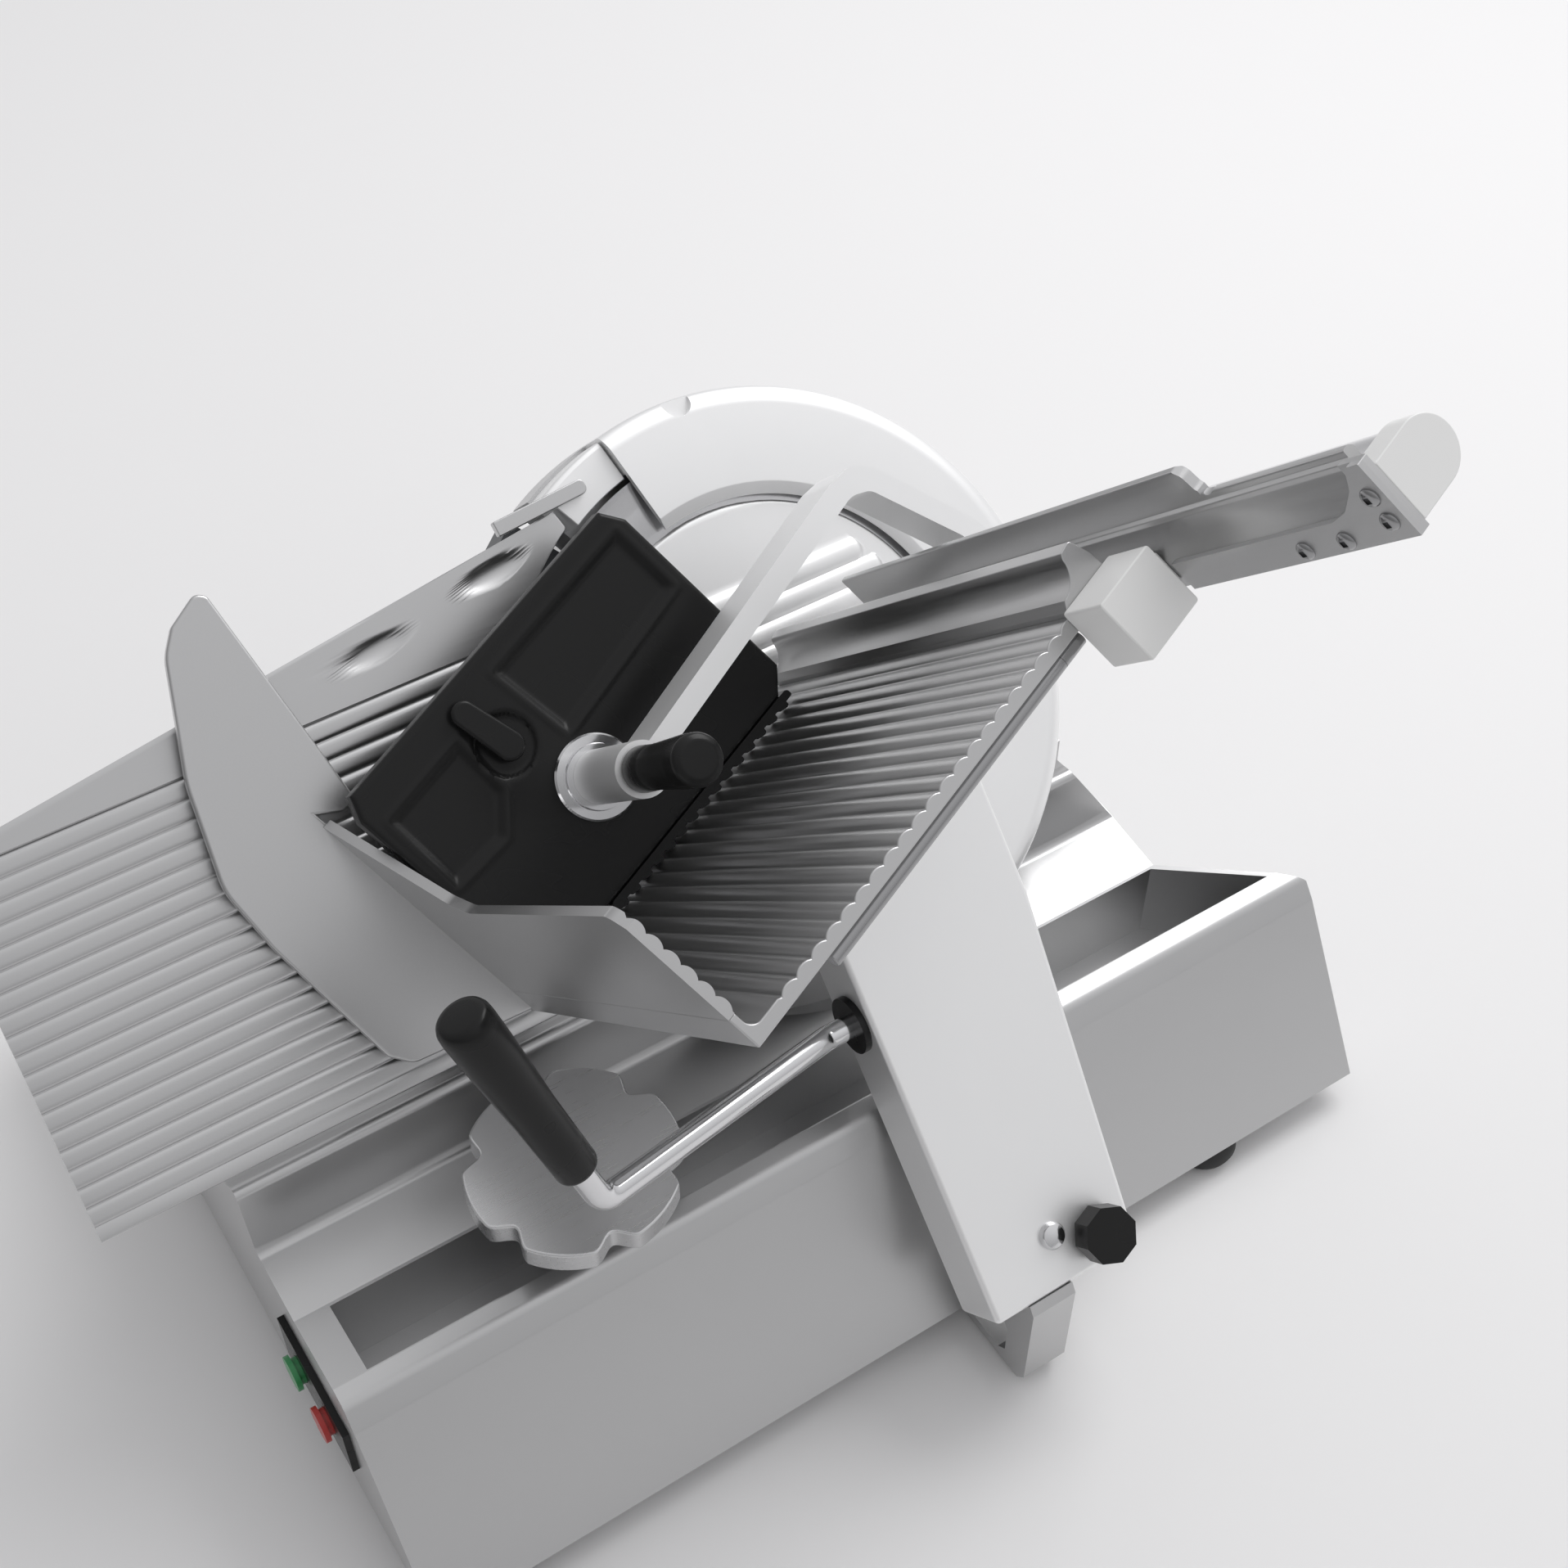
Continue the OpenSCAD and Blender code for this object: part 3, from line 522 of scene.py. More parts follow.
def guard(sizes):
    """Round guard, the small guard beside it and its tongue"""
    a0, a1 = math.radians(-75), math.radians(104)
    mesh = lathe("blade_guard", ring_profile(), FEED, a0=a0, a1=a1, steps=sizes.arc_steps)
    ring = piece("blade_guard", mesh, "guard_ring")
    # thumb notch in the rim
    notch = lathe("notch", [(0, -1), (9, -1), (9, 30), (0, 30)], FEED, centre=(0.5, 7, 183), steps=48)
    carve(ring, notch)
    soften(ring, 0.0009, 2, 40)
    small = lathe("side_guard", rounded([(158, -28), (184, -28), (184, -2, 3), (181, -1, 1), (158, -1, 1)]),
                  FEED, a0=math.radians(104.3), a1=math.radians(119), steps=24)
    soften(piece("side_guard", small, "side_guard"), 0.0008)
    bar = rounded([(-124, 148.8, 1), (-64, 154.1, 4), (-66, 162.7, 3), (-124.8, 157.7, 1)])
    soften(piece("guard_tongue", slab("guard_tongue", bar, -1, 5, FEED), "guard_tongue"), 0.0008)


def blade_and_cover(sizes):
    """Bevelled blade and the ribbed plate that covers it"""
    edge = [(16, -9), (16, -5), (122, -5), (124, -4.7), (139, -3.4), (141, -3.0), (150.5, -1.5), (155, 0),
            (153.5, -2.4), (136, -7.4), (100, -9)]
    piece("blade_disc", lathe("blade_disc", edge, FEED, steps=sizes.arc_steps * 2, smooth=12), "blade")
    radius, pitch = 118.0, 13.0

    def ends(z):
        half = math.sqrt(max(radius ** 2 - z * z, 1.0))
        return -half, half

    def relief(y, z):
        rim = radius - math.hypot(y, z)
        x = -1.6
        index = round((64 - z) / pitch)
        if index >= 0 and z < 64 + pitch / 2:
            middle = 64 - index * pitch
            across = (z - middle) / (pitch / 2)
            room = math.sqrt(max((radius - 12) ** 2 - middle * middle, 0))
            over = max(abs(y) - room + 5, 0) / 5
            crest = 1 - across * across - over * over
            if crest > 0 and room > 6:
                x += 2.4 * math.sqrt(crest)
        if rim < 2:
            x -= 0.4 * (2 - rim) ** 2
        return x

    rows = [-radius + 0.02, -radius + 0.6, -radius + 2]
    z = 64 + pitch / 2
    while z > -radius + 4:
        levels = (z - pitch * s for s in (0.02, 0.08, 0.18, 0.32, 0.5, 0.68, 0.82, 0.92, 0.98))
        rows += [level for level in levels if level > -radius + 3]
        z -= pitch
    rows += between(72, radius - 2, 14) + [radius - 0.6, radius - 0.02]
    columns = sorted(set([0, 0.003, 0.008] + between(0.015, 0.12, 24) + between(0.12, 0.88, 40)
                         + between(0.88, 0.985, 24) + [0.992, 0.997, 1]))
    mesh = sheet_relief("cover_plate", sorted(rows), ends, columns, relief, -4.4, FEED)
    piece("cover_plate", mesh, "blade_cover")


# ---------- the chute ----------

def scallops(first, last, pitch, height, top=0.0, steps=8):
    """Row of round-topped ribs, as (along, up) points"""
    out = []
    middle = first
    radius = (pitch * pitch / 4 + height * height) / (2 * height)
    half = math.asin(pitch / 2 / radius)
    while middle <= last:
        for k in range(steps + 1):
            a = -half + 2 * half * k / steps
            out.append((middle + radius * math.sin(a), top - radius + radius * math.cos(a)))
        middle += pitch
    return out


def chute(sizes):
    """Ribbed floor of the chute and its ribbed side wall"""
    pitch = sizes.rib_pitch * 1000
    ribs = scallops(21.4, 228, pitch, 2)
    ribs = [p for p in ribs if p[0] < 231]
    floor = ([(-6, -8), (232, -8), (232, -0.3)] + list(reversed(ribs)) + [(14.5, -1.0), (9, -1.0)]
             + arc_points((4, 5), 6, -PI / 2, -PI, 8)[1:] + [(-2, 10), (-6, 10)])
    ob = piece("chute_floor", slab("chute_floor", floor, 8, 345, CHUTE, 30), "chute_floor")
    soften(ob, sizes.edge, 2, 50)
    wall = [(b, a) for a, b in scallops(16, 66, pitch * 0.96, 2)]
    wall = ([(-6, 10), (-2, 10)] + [(u, w) for u, w in wall if w > 10.6]
            + [(-0.4, 72), (-0.4, 152), (-6, 152)])
    side = piece("chute_side", slab("chute_side", wall, 16, 345, CHUTE, 30), "chute_side")
    shape = rounded([(10, -5), (345, -5), (345, 68), (337, 76, 10), (118, 76, 30), (96, 84, 20),
                     (16, 146), (16, 146.5)], 8)
    bm = bmesh.new()
    add_along_y(bm, shape, -12, 6)
    carve(side, to_mesh("shape", bm, CHUTE), "INTERSECT")
    soften(side, sizes.edge * 1.6, 3, 50)


def guard_flange():
    """Flat hand guard at the foot of the chute"""
    outline = rounded([(-214.6, -97, 0), (-260, -96, 20), (-289, -95, 10), (-300, -86, 8), (-332, -7, 60),
                       (-343, 31, 40), (-338, 90, 80), (-321, 155, 30), (-312, 168, 8), (-294, 180, 5),
                       (-288, 177, 5), (-258, 41, 8), (-282.4, 48.4)], 8)
    ob = piece("hand_guard", slab("hand_guard", outline, 8, 16, FEED, 30), "hand_guard")
    soften(ob, 0.0018, 4, 50)


def fence():
    """Hollow-faced lip on the floor's edge, and the rod under its open end"""
    hollow = arc_points((234.5, 20), 14, -PI / 2 + 0.05, -0.12, 14)
    outline = ([(232, -8), (232, 2)] + [(235.2, 6.0)] + hollow[1:] + rounded(
        [(250, 21, 0), (257, 22, 2), (261, 10, 4), (262, -8, 1)]))
    ob = piece("lip_fence", slab("lip_fence", outline, 8, 345, CHUTE, 30), "lip_fence")
    soften(ob, 0.0007, 3, 45)
    rod = bmesh.new()
    frame_y = CHUTE @ Matrix.Translation((338, 0, -12)) @ Matrix.Rotation(PI / 2, 4, "Z")
    add_lathe(rod, [(0, 44), (3.4, 44), (4, 44.6), (4, 216), (0, 216)], steps=48)
    add_lathe(rod, [(0, 216.2), (4, 216.2), (4, 231), (0, 231)], steps=48)
    piece("edge_rod", to_mesh("edge_rod", rod, frame_y), "edge_rod", slot="screw_steel")


def screw_head(radius):
    """Domed head with a square recess, its seat at x = 0"""
    bm = bmesh.new()
    recess = radius * 0.34
    add_lathe(bm, [(0, 0), (radius, 0), (radius, 0.5), (radius * 0.92, 1.2), (radius * 0.72, 2.0),
                   (radius * 0.5, 2.4), (0, 2.55)], steps=40)
    head = to_mesh("head", bm, Matrix.Identity(4), 30)
    ob = bpy.data.objects.new("head", head)
    bpy.context.collection.objects.link(ob)
    carve(ob, slab("socket", [(-recess, -recess), (recess, -recess), (recess, recess), (-recess, recess)],
                   0.9, 5, Matrix.Identity(4)))
    mesh = ob.data
    bpy.data.objects.remove(ob)
    return mesh


def block_and_rail():
    """Mounting block, stepped rail, its end pieces and screws, and the rod"""
    cube = rounded([(229.5, -32, 1.5), (266.5, -32, 1.5), (266.5, 3, 1.5), (229.5, 3, 1.5)], 3)
    bm = bmesh.new()
    add_prism(bm, cube, 345, 377)
    add_prism(bm, [(240, -32), (285, -32), (285, -14), (240, -14)], 325, 344.9)
    soften(piece("mounting_block", to_mesh("mounting_block", bm, CHUTE), "mounting_block"), 0.001, 3, 50)

    def section(top):
        return rounded([(285, -37, 1), (295, -37, 1.5), (297, -34, 1.5), (297, top - 2, 1.5), (295, top, 1),
                        (291.5, top, 1.2), (291.5, 0.5, 0.6), (289.8, -1.2, 0.9), (290.5, -4, 2),
                        (285, -21, 0.5)], 5)
    bm = bmesh.new()
    add_prism(bm, section(19), 45, 395)
    rail = piece("holder_rail", to_mesh("holder_rail", bm, CHUTE), "holder_rail")
    low = bmesh.new()
    add_prism(low, section(4), 390, 493)
    carve(rail, to_mesh("low", low, CHUTE), "UNION")
    step = rounded([(386, 19.5), (389, 19, 3), (393, 15, 5), (394, 7, 4), (399, 1.6, 4.6), (404, 3.9, 2),
                    (412, 4.05), (412, 30), (386, 30)], 8)
    bm = bmesh.new()
    add_along_y(bm, step, 270, 299)
    carve(rail, to_mesh("step", bm, CHUTE))
    soften(rail, 0.0005, 2, 50)
    sweep = rounded([(352, -37), (508, -37), (508, 2, 0.6), (500, 2, 3), (492, -9, 8), (480, -18, 12),
                     (469, -21, 6), (352, -21)], 8)
    bm = bmesh.new()
    add_along_y(bm, sweep, 282, 284.95)
    add_along_y(bm, rounded([(493.1, -37), (508, -37), (508, 2, 0.6), (493.1, 2)], 3), 284.95, 288)
    soften(piece("rail_end_plate", to_mesh("rail_end_plate", bm, CHUTE), "rail_end_plate"), 0.0004, 2, 50)
    bm = bmesh.new()
    head = screw_head(4.6)
    for n, w in ((441, -31), (468, -31), (499, -27), (500, -14)):
        turned = head.copy()
        turned.transform(CHUTE @ Matrix.Translation((n, 282, w)) @ Matrix.Rotation(-PI / 2, 4, "Z"))
        bm.from_mesh(turned)
        bpy.data.meshes.remove(turned)
    bpy.data.meshes.remove(head)
    screws = bpy.data.meshes.new("rail_screws")
    bm.to_mesh(screws)
    bm.free()
    screws.shade_smooth()
    screws.set_sharp_from_angle(angle=math.radians(32))
    piece("rail_screws", screws, "rail_screws")
    outline = [(288.05, -34.5)] + arc_points((310, -19), 15.5, -PI / 2, PI / 2, 32) + [(288.05, -3.5)]
    cap = slab("rail_end_cap", outline, 493.1, 508, CHUTE)
    soften(piece("rail_end_cap", cap, "rail_end_cap"), 0.0008, 3, 40)
    rod = [(0, 60), (8.2, 60), (9, 60.8), (9, 493), (0, 493)]
    piece("holder_rod", lathe("holder_rod", rod, CHUTE, centre=ROD, steps=64), "holder_rod")


# ---------- the meat holder ----------

# The grip and collar stand at the hub, and the arm swings about the rod
HUB = (0, 104, 59)
TEETH, TOOTH_PITCH = 15, 10.3


def arm():
    """Swing-over arm with its hub, slider, collar and grip"""
    bm = bmesh.new()
    outline = rounded([(104, 53), (104, 65), (288, 79, 22), (304, 77, 10), (313, 66, 10), (335, 2, 30),
                       (332, -18, 4), (315, -18), (322, 4, 4), (302, 60, 8), (292, 66, 12)], 8)
    add_prism(bm, outline, 100, 138)
    ob = piece("holder_arm", to_mesh("holder_arm", bm, CHUTE), "holder_arm")
    round_parts = bmesh.new()
    add_lathe(round_parts, [(0, 68), (15, 68), (15, 138), (0, 138)], centre=HUB, steps=64)
    carve(ob, to_mesh("boss", round_parts, CHUTE), "UNION")
    knuckle = bmesh.new()
    add_lathe(knuckle, [(0, 100), (17.4, 100), (17.4, 138), (0, 138)], centre=ROD, steps=64)
    carve(ob, to_mesh("knuckle", knuckle, CHUTE), "UNION")
    bore = bmesh.new()
    add_lathe(bore, [(0, 90), (13.6, 90), (13.6, 150), (0, 150)], centre=ROD, steps=64)
    carve(ob, to_mesh("bore", bore, CHUTE))
    soften(ob, 0.0009, 3, 35)
    slider = [(9.05, 92), (16, 92), (16, 99.6), (13.5, 99.6), (13.5, 138.4), (16, 138.4), (16, 146),
              (9.05, 146)]
    soften(piece("holder_slider", lathe("holder_slider", slider, CHUTE, centre=ROD, steps=64),
                 "holder_slider"), 0.0008, 2, 40)
    collar = [(7, 60), (24, 60), (24, 62.8), (23, 64), (18.5, 64), (18, 64.6), (18, 67.8), (7, 67.8)]
    piece("hub_collar", lathe("hub_collar", collar, CHUTE, centre=HUB, steps=96), "hub_collar")
    grip = rounded([(0, 138.1), (10.5, 138.1, 0.5), (12.2, 140, 1), (11.6, 160, 30), (13.4, 205, 40),
                    (13.4, 218, 5), (9.5, 220.1, 4), (0, 220.1)], 6)
    bm = bmesh.new()
    add_lathe(bm, grip, centre=HUB, steps=64)
    piece("holder_grip", to_mesh("holder_grip", bm, CHUTE), "holder_grip")


def box_distance(u, w, corners):
    """Signed distance to a closed outline, negative inside"""
    inside = False
    best = 1e9
    point = Vector((u, w))
    for i, b in enumerate(corners):
        a = Vector(corners[i - 1])
        b = Vector(b)
        t = max(0.0, min(1.0, (point - a).dot(b - a) / (b - a).length_squared))
        best = min(best, (a + (b - a) * t - point).length)
        if (a.y > w) != (b.y > w) and u < (b.x - a.x) * (w - a.y) / (b.y - a.y) + a.x:
            inside = not inside
    return -best if inside else best


def holder_plate():
    """Black plate with sunk panels, its teeth and the thumb latch"""
    panels = ([(112, 86), (214, 93), (214, 138), (108, 138)],
              [(10, 78), (47, 75), (66, 92), (68, 128), (12, 128)])
    recess = (84, 107.5)

    def ends(z):
        if z > 138:
            return 2 + (z - 138) * 0.5, 223 - (z - 138) * 0.6
        if z < 20:
            return 2, 223 - (20 - z) * 1.1
        return 2, 223

    def relief(u, w):
        x = 60.0
        for corners in panels:
            gap = box_distance(u, w, corners)
            x -= 2.6 * (1 - smoothstep((gap + 5) / 5.0))
            x += 0.9 * max(0.0, 1 - abs(gap - 1.5) / 3.0) ** 2
        round_gap = math.hypot(u - recess[0], w - recess[1]) - 17.5
        x -= 2.4 * (1 - smoothstep((round_gap + 2) / 3.0))
        left, right = ends(w)
        edge = min(u - left, right - u, w - 8, 151.5 - w)
        if edge < 3:
            x -= 3 - math.sqrt(max(0, 9 - (3 - edge) ** 2))
        return min(x, 60.0 + 0.6)

    rows = [8, 8.3, 8.9, 9.8, 11] + between(12.5, 147, 86) + [148.5, 149.7, 150.6, 151.2, 151.5]
    columns = [0, 0.0015, 0.004, 0.008, 0.014] + between(0.02, 0.98, 130) + [0.986, 0.992, 0.996, 0.9985, 1]
    mesh = sheet_relief("holder_plate", rows, ends, columns, relief, 46, CHUTE)
    piece("holder_plate", mesh, "holder_plate")
    bm = bmesh.new()
    add_prism(bm, rounded([(58, 3.2, 1), (216, 3.2, 1), (216, 8, 2.5), (58, 8, 2.5)], 4), 48, 60)
    tooth = [(-3.8, 3.6), (-3.2, 1.9), (1.6, 0.5), (3.4, 1.0), (3.8, 3.6)]
    for k in range(TEETH):
        middle = 62.6 + k * TOOTH_PITCH
        add_prism(bm, [(middle + u, w) for u, w in tooth], 52, 60)
    soften(piece("tooth_strip", to_mesh("tooth_strip", bm, CHUTE), "tooth_strip", slot="black_plastic"),
           0.0003, 1, 50)
    latch = rounded([(-9, -9, 9), (9, -9, 9), (7, 36, 7), (-7, 36, 7)], 8)
    at = CHUTE @ Matrix.Translation((60.4, 84, 107)) @ Matrix.Rotation(math.radians(8), 4, "X")
    bm = bmesh.new()
    add_prism(bm, latch, 1.5, 6.5)
    soften(piece("thumb_latch", to_mesh("thumb_latch", bm, at), "thumb_latch"), 0.0022, 4, 40)


# ---------- the carriage column, handle and base ----------

TUBE_R, BEND_R = 7.0, 14
FOOT_PLACES = ((252, 154), (252, -360), (-205, 150), (-205, -360))
DIAL_R, SCOOPS, SCOOP_HALF, SCOOP_TURN = 60.0, 6, 14, 0.42


def column():
    """Leaning column with the head of its pivot bolt"""
    under = -89 - 8 / math.cos(ROLL)
    low = under + (-67 + 215) * math.tan(ROLL)
    outline = [(-67, -362), (33, -362), (53, -150), (53, 10.2), (46.6, 24.1), (-67, low)]
    ob = piece("carriage_column", slab("carriage_column", outline, 48, 92, FEED), "carriage_column")
    soften(ob, 0.0032, 5, 40)
    dome = [(0, 91), (8, 91), (8, 94), (6.6, 96), (3.5, 97), (0, 97.2)]
    piece("pivot_bolt", lathe("pivot_bolt", dome, FEED, centre=(0, -16, -332), steps=48), "carriage_column",
          slot="bright_steel")


def handle():
    """Bent bar and its grip"""
    corners = [Vector(p) for p in ((70, -60, -176), (70, -86, -176), (144, -255.5, -177), (158, -264, -152))]
    path = bent(corners, BEND_R, 12)
    bm = bmesh.new()
    add_pipe(bm, path, [TUBE_R] * len(path), 32)
    piece("handle_tube", to_mesh("handle_tube", bm, FEED), "handle_tube")
    foot, top = Vector((157, -263.5, -153)), Vector((214, -298, -52))
    # how far up the grip, and its radius there
    swell = [(0, 10.2), (0.006, 11.2), (0.02, 11.6), (0.2, 11.8), (0.4, 12.2), (0.6, 13.2), (0.8, 14.1),
             (0.93, 14.4), (0.965, 14.1), (0.985, 13.1), (0.996, 11.5), (1, 9)]
    bm = bmesh.new()
    add_pipe(bm, [foot + (top - foot) * t for t, r in swell], [r for t, r in swell], 40)
    piece("handle_grip", to_mesh("handle_grip", bm, FEED, 50), "handle_grip")


def base():
    """Base shell with its channel, slant and dish, and the rubber feet"""
    # across the base: outer wall, deck, ridge, then down to the tray's side
    wall = [(-240, 20), (271, 20), (206, 131, 16), (196, 143.5, 9), (185, 145, 3), (134, 139, 2),
            (89, 141, 7), (86, 146, 5), (78, 194, 5), (60, 176, 10), (38, 160, 6), (-50, 160, 8),
            (-75, 128, 10), (-222, 112, 8), (-240, 96, 10)]
    bm = bmesh.new()
    add_along_y(bm, rounded(wall, 6), -400, 262)
    ob = piece("base_shell", to_mesh("base_shell", bm, TABLE, 40), "base_housing")

    def upright(name, outline, low, high):
        block = bmesh.new()
        add_upright(block, outline, low, high)
        return to_mesh(name, block, TABLE)

    plan = [(-245, -410), (280, -410), (280, 262), (198, 262), (134, 191), (77, 195), (-245, 196)]
    carve(ob, upright("plan", plan, 10, 220), "INTERSECT")
    carve(ob, upright("channel", [(136, -380), (184, -380), (184, 241), (136, 187.5)], 80, 160))
    slant = bmesh.new()
    add_prism(slant, [(194, 141.5), (154, 206), (300, 206), (300, 141.5)], 30, 92)
    carve(ob, to_mesh("slant", slant, TABLE))
    carve(ob, lathe("dish", [(0, -60), (188, -60), (188, 60), (0, 60)], FEED, steps=128))
    soften(ob, 0.0025, 4, 40)
    feet = bmesh.new()
    bulge = [(0, 0), (13, 0), (17, 1.2), (20.5, 4.5), (22, 9), (20.8, 13.5), (17.2, 17), (0, 17)]
    for x, y in FOOT_PLACES:
        foot = bmesh.new()
        add_lathe(foot, bulge, steps=48)
        bmesh.ops.transform(foot, matrix=Matrix.Translation((x, y, 0)) @ Matrix.Rotation(-PI / 2, 4, "Y"),
                            verts=foot.verts)
        mesh = bpy.data.meshes.new("foot")
        foot.to_mesh(mesh)
        foot.free()
        feet.from_mesh(mesh)
        bpy.data.meshes.remove(mesh)
    piece("feet", to_mesh("feet", feet, TABLE, 40), "rubber_feet")


def dial():
    """Thickness dial with a scooped rim"""
    spot = Vector(JOINTS["dial_turn"]["pos_m"])
    at = Matrix.Translation((spot.x, spot.y, 0)) @ Matrix.Rotation(-PI / 2, 4, "Y") @ MM
    lobes = []
    for k in range(240):
        a = 2 * PI * k / 240
        r = DIAL_R
        for scoop in range(SCOOPS):
            gap = abs((a - SCOOP_TURN - scoop * 2 * PI / SCOOPS + PI) % (2 * PI) - PI) * DIAL_R
            r = min(r, DIAL_R - 4.5 * (1 + math.cos(min(gap / SCOOP_HALF, 1) * PI)))
        lobes.append((r * math.cos(a), r * math.sin(a)))
    bm = bmesh.new()
    add_prism(bm, lobes, 174, 189)
    ob = piece("thickness_dial", to_mesh("thickness_dial", bm, at, 30), "thickness_dial")
    soften(ob, 0.0015, 3, 40)


# ---------- operators ----------

def settings():
    """The sizes and colours in use"""
    return bpy.context.scene.slicer_sizes, bpy.context.scene.slicer_colours


class Action:
    """Shared by the operators: runs one maker and reports that it finished"""
    bl_options = {"REGISTER"}

    def execute(self, context):
        self.make(context)
        return {"FINISHED"}


class SLICER_OT_finishes(Action, bpy.types.Operator):
    """Make the shader groups and the materials"""
    bl_idname = "slicer.finishes"
    bl_label = "Finishes"

    def make(self, context):
        sizes, colours = settings()
        GROUPS["Brushing"] = brushing_group()
        GROUPS["Grain"] = grain_group()
        alloy, pale, black = colours.alloy, colours.pale, colours.black
        along, across = (1.0, 0.02, 1.0), (0.02, 1.0, 1.0)
        tilt = (0.0, TILT, 0.0)
        finish("painted_base", "Grain", alloy, 0.95, 0.03, Size=1400.0, Roughness=0.34, Marks=0.10)
        finish("guard_white", "Grain", pale, 0.7, 0.02, Size=1600.0, Roughness=0.42, Marks=0.08)
        finish("brushed_alloy", "Brushing", alloy, 1.0, 0.04, Stretch=across, Turn=tilt, Roughness=0.34,
               Streaks=0.16)
        finish("ribbed_alloy", "Brushing", alloy, 1.0, 0.03, Stretch=along, Roughness=0.33, Streaks=0.10)
        finish("blade_steel", "Brushing", (0.62, 0.62, 0.63), 1.0, 0.02, Stretch=(0.2, 1, 1), Roughness=0.2,
               Streaks=0.1)
        finish("bright_steel", "Brushing", (0.7, 0.7, 0.71), 1.0, 0.01, Stretch=across, Turn=tilt,
               Roughness=0.14, Streaks=0.06)
        finish("screw_steel", "Brushing", (0.34, 0.34, 0.345), 1.0, 0.03, Roughness=0.22, Streaks=0.1)
        finish("tray_steel", "Brushing", (0.62, 0.62, 0.63), 1.0, 0.04, Stretch=along, Roughness=0.3,
               Streaks=0.15)
        finish("black_plastic", "Grain", black, 0.0, 0.10, Size=1100.0, Roughness=0.27, Marks=0.12,
               specular=0.22)
        finish("white_plastic", "Grain", (0.86, 0.86, 0.85), 0.0, 0.03, Size=700.0, Roughness=0.35,
               Marks=0.06)
        finish("dial_alloy", "Brushing", (0.66, 0.66, 0.665), 1.0, 0.02, Stretch=along, Roughness=0.3,
               Streaks=0.12)
        finish("rubber", "Grain", (0.02, 0.02, 0.02), 0.0, 0.15, Size=800.0, Roughness=0.6, Marks=0.15)
        finish("bronze", "Grain", (0.5, 0.34, 0.17), 1.0, 0.08, Size=900.0, Roughness=0.35, Marks=0.2)
        finish("motor_paint", "Grain", (0.08, 0.085, 0.09), 0.0, 0.12, Size=600.0, Roughness=0.5, Marks=0.1)
        finish("start_green", "Grain", (0.04, 0.3, 0.1), 0.0, 0.03, Size=700.0, Roughness=0.3, Marks=0.06)
        finish("stop_red", "Grain", (0.5, 0.03, 0.025), 0.0, 0.03, Size=700.0, Roughness=0.3, Marks=0.06)
        for node, ob in frame["nodes"].items():
            ob.data.materials.clear()
            ob.data.materials.append(FINISH[SLOT_OF[node]])
            ob.data.shade_smooth()
            ob.data.set_sharp_from_angle(angle=math.radians(30))


class SLICER_OT_gauge(Action, bpy.types.Operator):
    """Make the ribbed gauge plate"""
    bl_idname = "slicer.gauge"
    bl_label = "Gauge plate"

    def make(self, context):
        gauge_plate(settings()[0])


class SLICER_OT_blade(Action, bpy.types.Operator):
    """Make the blade, its cover and the round guard"""
    bl_idname = "slicer.blade"
    bl_label = "Blade and guard"

    def make(self, context):
        guard(settings()[0])
        blade_and_cover(settings()[0])


class SLICER_OT_chute(Action, bpy.types.Operator):
    """Make the ribbed chute, its hand guard, fence, rail and rod"""
    bl_idname = "slicer.chute"
    bl_label = "Chute and rail"

    def make(self, context):
        sizes = settings()[0]
        chute(sizes)
        guard_flange()
        fence()
        block_and_rail()


class SLICER_OT_holder(Action, bpy.types.Operator):
    """Make the meat holder and its arm"""
    bl_idname = "slicer.holder"
    bl_label = "Meat holder"

    def make(self, context):
        arm()
        holder_plate()


class SLICER_OT_carriage(Action, bpy.types.Operator):
    """Make the carriage column and its handle"""
    bl_idname = "slicer.carriage"
    bl_label = "Column and handle"

    def make(self, context):
        column()
        handle()


class SLICER_OT_base(Action, bpy.types.Operator):
    """Make the base shell and the thickness dial"""
    bl_idname = "slicer.base"
    bl_label = "Base and dial"

    def make(self, context):
        base()
        dial()


def sky_gradient(tree):
    """Soft surround: bright overhead, greyer towards the horizon and the operator's side"""
    where = linked(tree, "ShaderNodeTexCoord", -900).outputs["Generated"]
    split = linked(tree, "ShaderNodeSeparateXYZ", -700, Vector=where)
    climb = linked(tree, "ShaderNodeMapRange", -500, Value=split.outputs["Z"])
    climb.inputs["From Min"].default_value = -0.05
    climb.inputs["From Max"].default_value = 0.9
    climb.inputs["To Min"].default_value = 0.42
    climb.inputs["To Max"].default_value = 0.82
    lean = linked(tree, "ShaderNodeMapRange", -500, Value=split.outputs["Y"])
    lean.inputs["From Min"].default_value = -1.0
    lean.inputs["From Max"].default_value = 1.0
    lean.inputs["To Min"].default_value = 0.55
    lean.inputs["To Max"].default_value = 1.35
    tree.links.new(maths(tree, "MULTIPLY", climb.outputs[0], lean.outputs[0]),
                   tree.nodes["Background"].inputs["Strength"])
    tree.nodes["Background"].inputs["Color"].default_value = (0.985, 0.985, 1.0, 1)


def softbox(name, place, aim, size, power):
    """Rectangular lamp aimed at a point"""
    light = bpy.data.lights.new(name, "AREA")
    light.shape = "RECTANGLE"
    light.size, light.size_y = size
    light.energy = power
    ob = bpy.data.objects.new(name, light)
    ob.location = place
    ob.rotation_euler = (Vector(aim) - Vector(place)).to_track_quat("-Z", "Y").to_euler()
    bpy.context.collection.objects.link(ob)


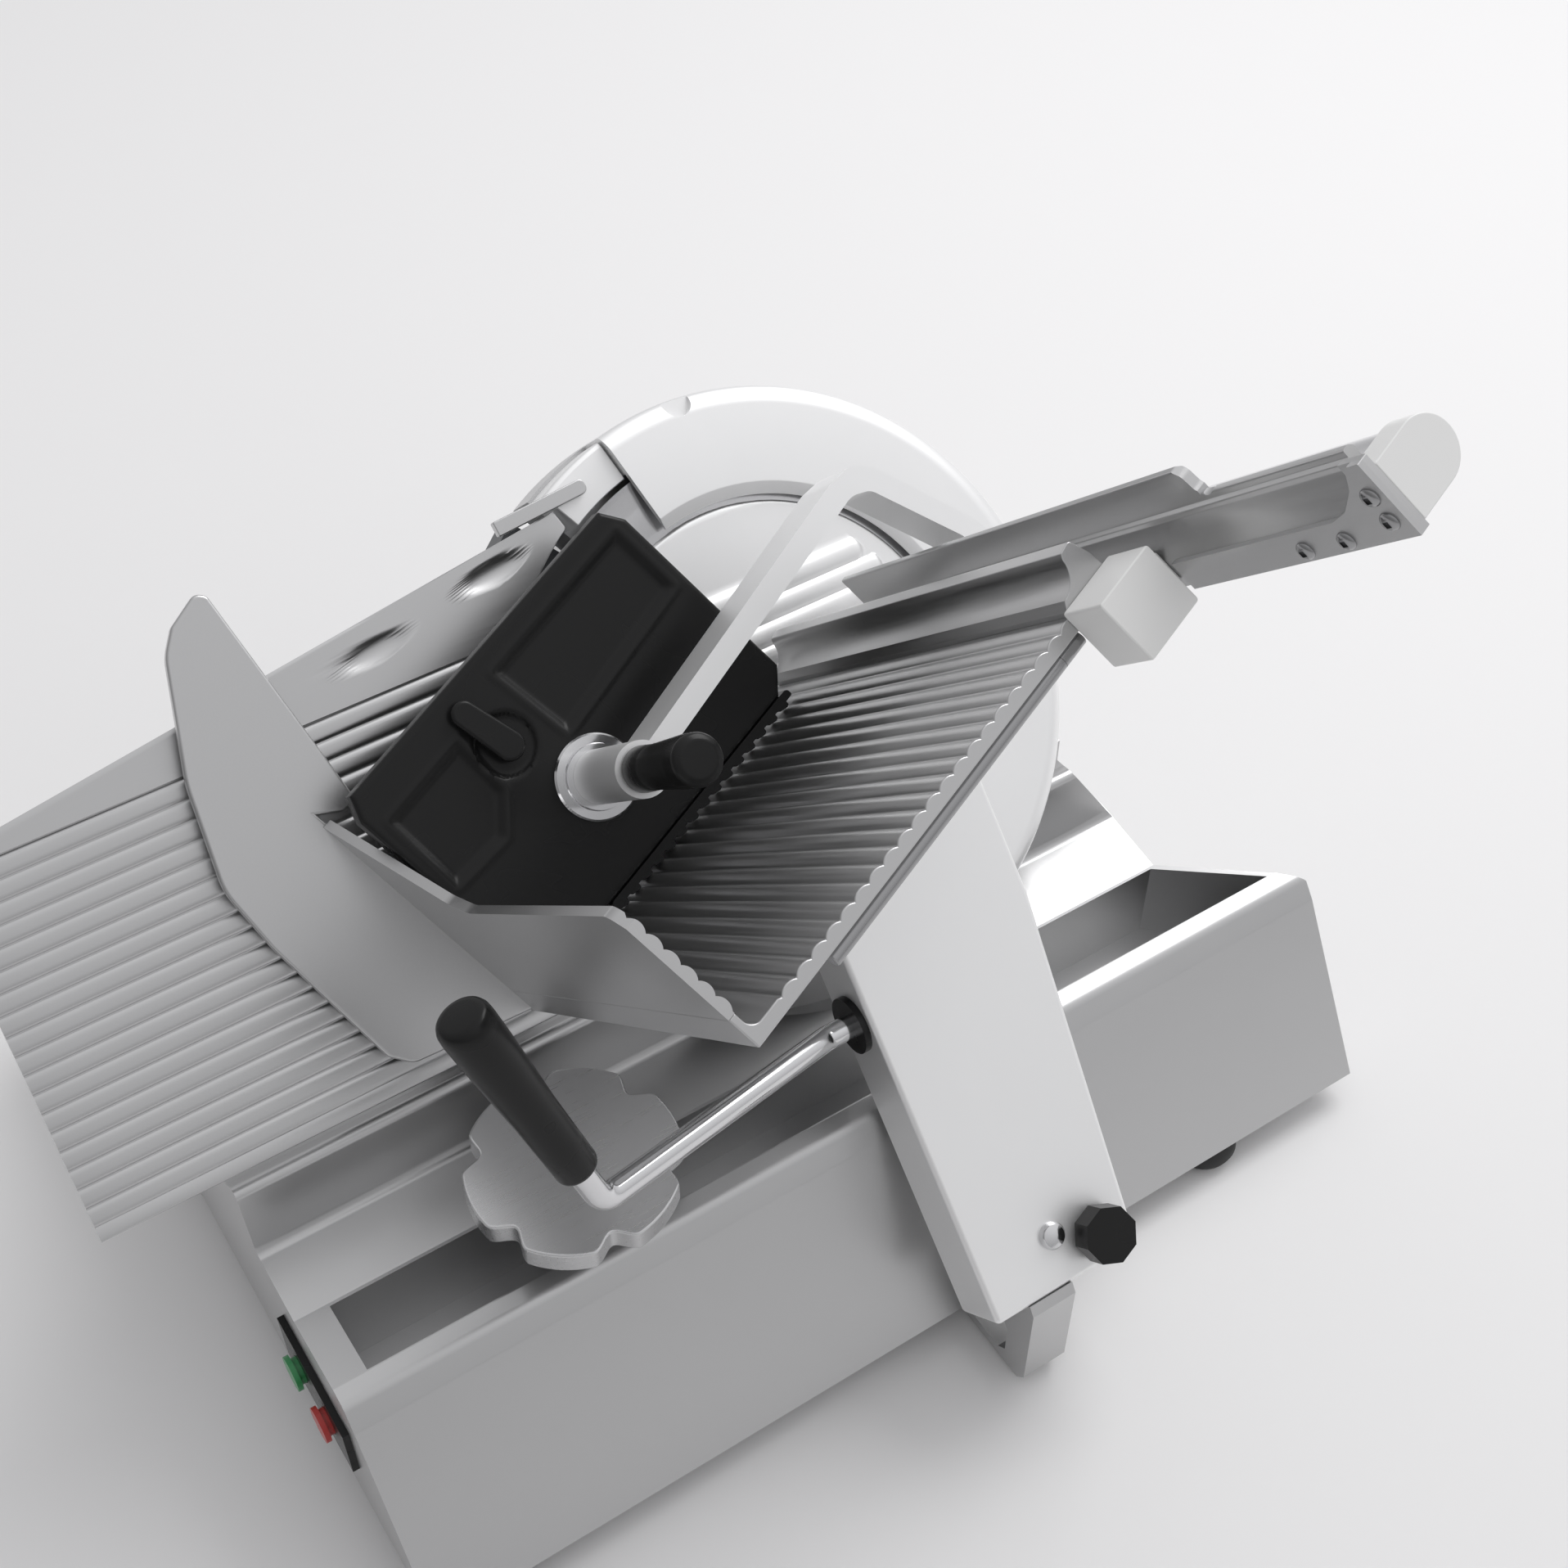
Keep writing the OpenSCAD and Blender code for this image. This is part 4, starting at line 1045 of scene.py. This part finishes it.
# The camera: where it stands from the blade's centre in metres, and which way it looks
VIEW_FROM = Vector((0.7655, -0.4991, 0.9032))
VIEW_AHEAD = Vector((-0.5723, 0.3724, -0.7306))
VIEW_RIGHT = Vector((0.5454, 0.8382, 0))


class SLICER_OT_stage(Action, bpy.types.Operator):
    """Make the floor, the lights and the camera"""
    bl_idname = "slicer.stage"
    bl_label = "Stage"

    def make(self, context):
        bm = bmesh.new()
        bmesh.ops.create_grid(bm, x_segments=8, y_segments=8, size=9)
        mesh = bpy.data.meshes.new("floor")
        bm.to_mesh(mesh)
        bm.free()
        floor = bpy.data.objects.new("floor", mesh)
        bpy.context.collection.objects.link(floor)
        floor_mat = finish("floor", "Grain", settings()[1].floor, 0.0, 0.0, Size=40.0, Roughness=0.8,
                           Marks=0.02)
        mesh.materials.append(floor_mat)
        world = bpy.data.worlds.new("studio")
        world.use_nodes = True
        sky_gradient(world.node_tree)
        context.scene.world = world
        softbox("key", (-0.6, 1.9, 2.6), (0, 0, 0.3), (1.8, 1.8), 38)
        context.scene.view_settings.view_transform = "Standard"
        lens = bpy.data.cameras.new("view")
        lens.lens = 50
        lens.sensor_width = 36
        lens.clip_end = 50
        eye = bpy.data.objects.new("view", lens)
        ahead = VIEW_AHEAD.normalized()
        right = (VIEW_RIGHT - ahead * VIEW_RIGHT.dot(ahead)).normalized()
        up = right.cross(ahead)
        spin = Matrix((right, up, -ahead)).transposed().to_4x4()
        eye.matrix_world = Matrix.Translation(CENTRE + VIEW_FROM) @ spin
        bpy.context.collection.objects.link(eye)
        context.scene.camera = eye


class SLICER_PT_panel(bpy.types.Panel):
    """Lists the settings and the makers"""
    bl_idname = "SLICER_PT_panel"
    bl_label = "Meat slicer"
    bl_space_type = "VIEW_3D"
    bl_region_type = "UI"
    bl_category = "Slicer"

    def draw(self, context):
        for group in (context.scene.slicer_sizes, context.scene.slicer_colours):
            for name in group.__annotations__:
                self.layout.prop(group, name)
        for action in ACTIONS:
            self.layout.operator(action.bl_idname)


ACTIONS = (SLICER_OT_finishes, SLICER_OT_gauge, SLICER_OT_blade, SLICER_OT_chute, SLICER_OT_holder,
           SLICER_OT_carriage, SLICER_OT_base, SLICER_OT_stage)
CLASSES = (SlicerSizes, SlicerColours) + ACTIONS + (SLICER_PT_panel,)


def register():
    """Add the classes and their settings"""
    for cls in CLASSES:
        bpy.utils.register_class(cls)
    bpy.types.Scene.slicer_sizes = bpy.props.PointerProperty(type=SlicerSizes)
    bpy.types.Scene.slicer_colours = bpy.props.PointerProperty(type=SlicerColours)


def unregister():
    """Remove the settings and the classes"""
    del bpy.types.Scene.slicer_colours
    del bpy.types.Scene.slicer_sizes
    for cls in reversed(CLASSES):
        bpy.utils.unregister_class(cls)


def main():
    """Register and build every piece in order"""
    register()
    for action in ACTIONS:
        group, name = action.bl_idname.split(".")
        getattr(getattr(bpy.ops, group), name)()


if __name__ == "__main__":
    main()
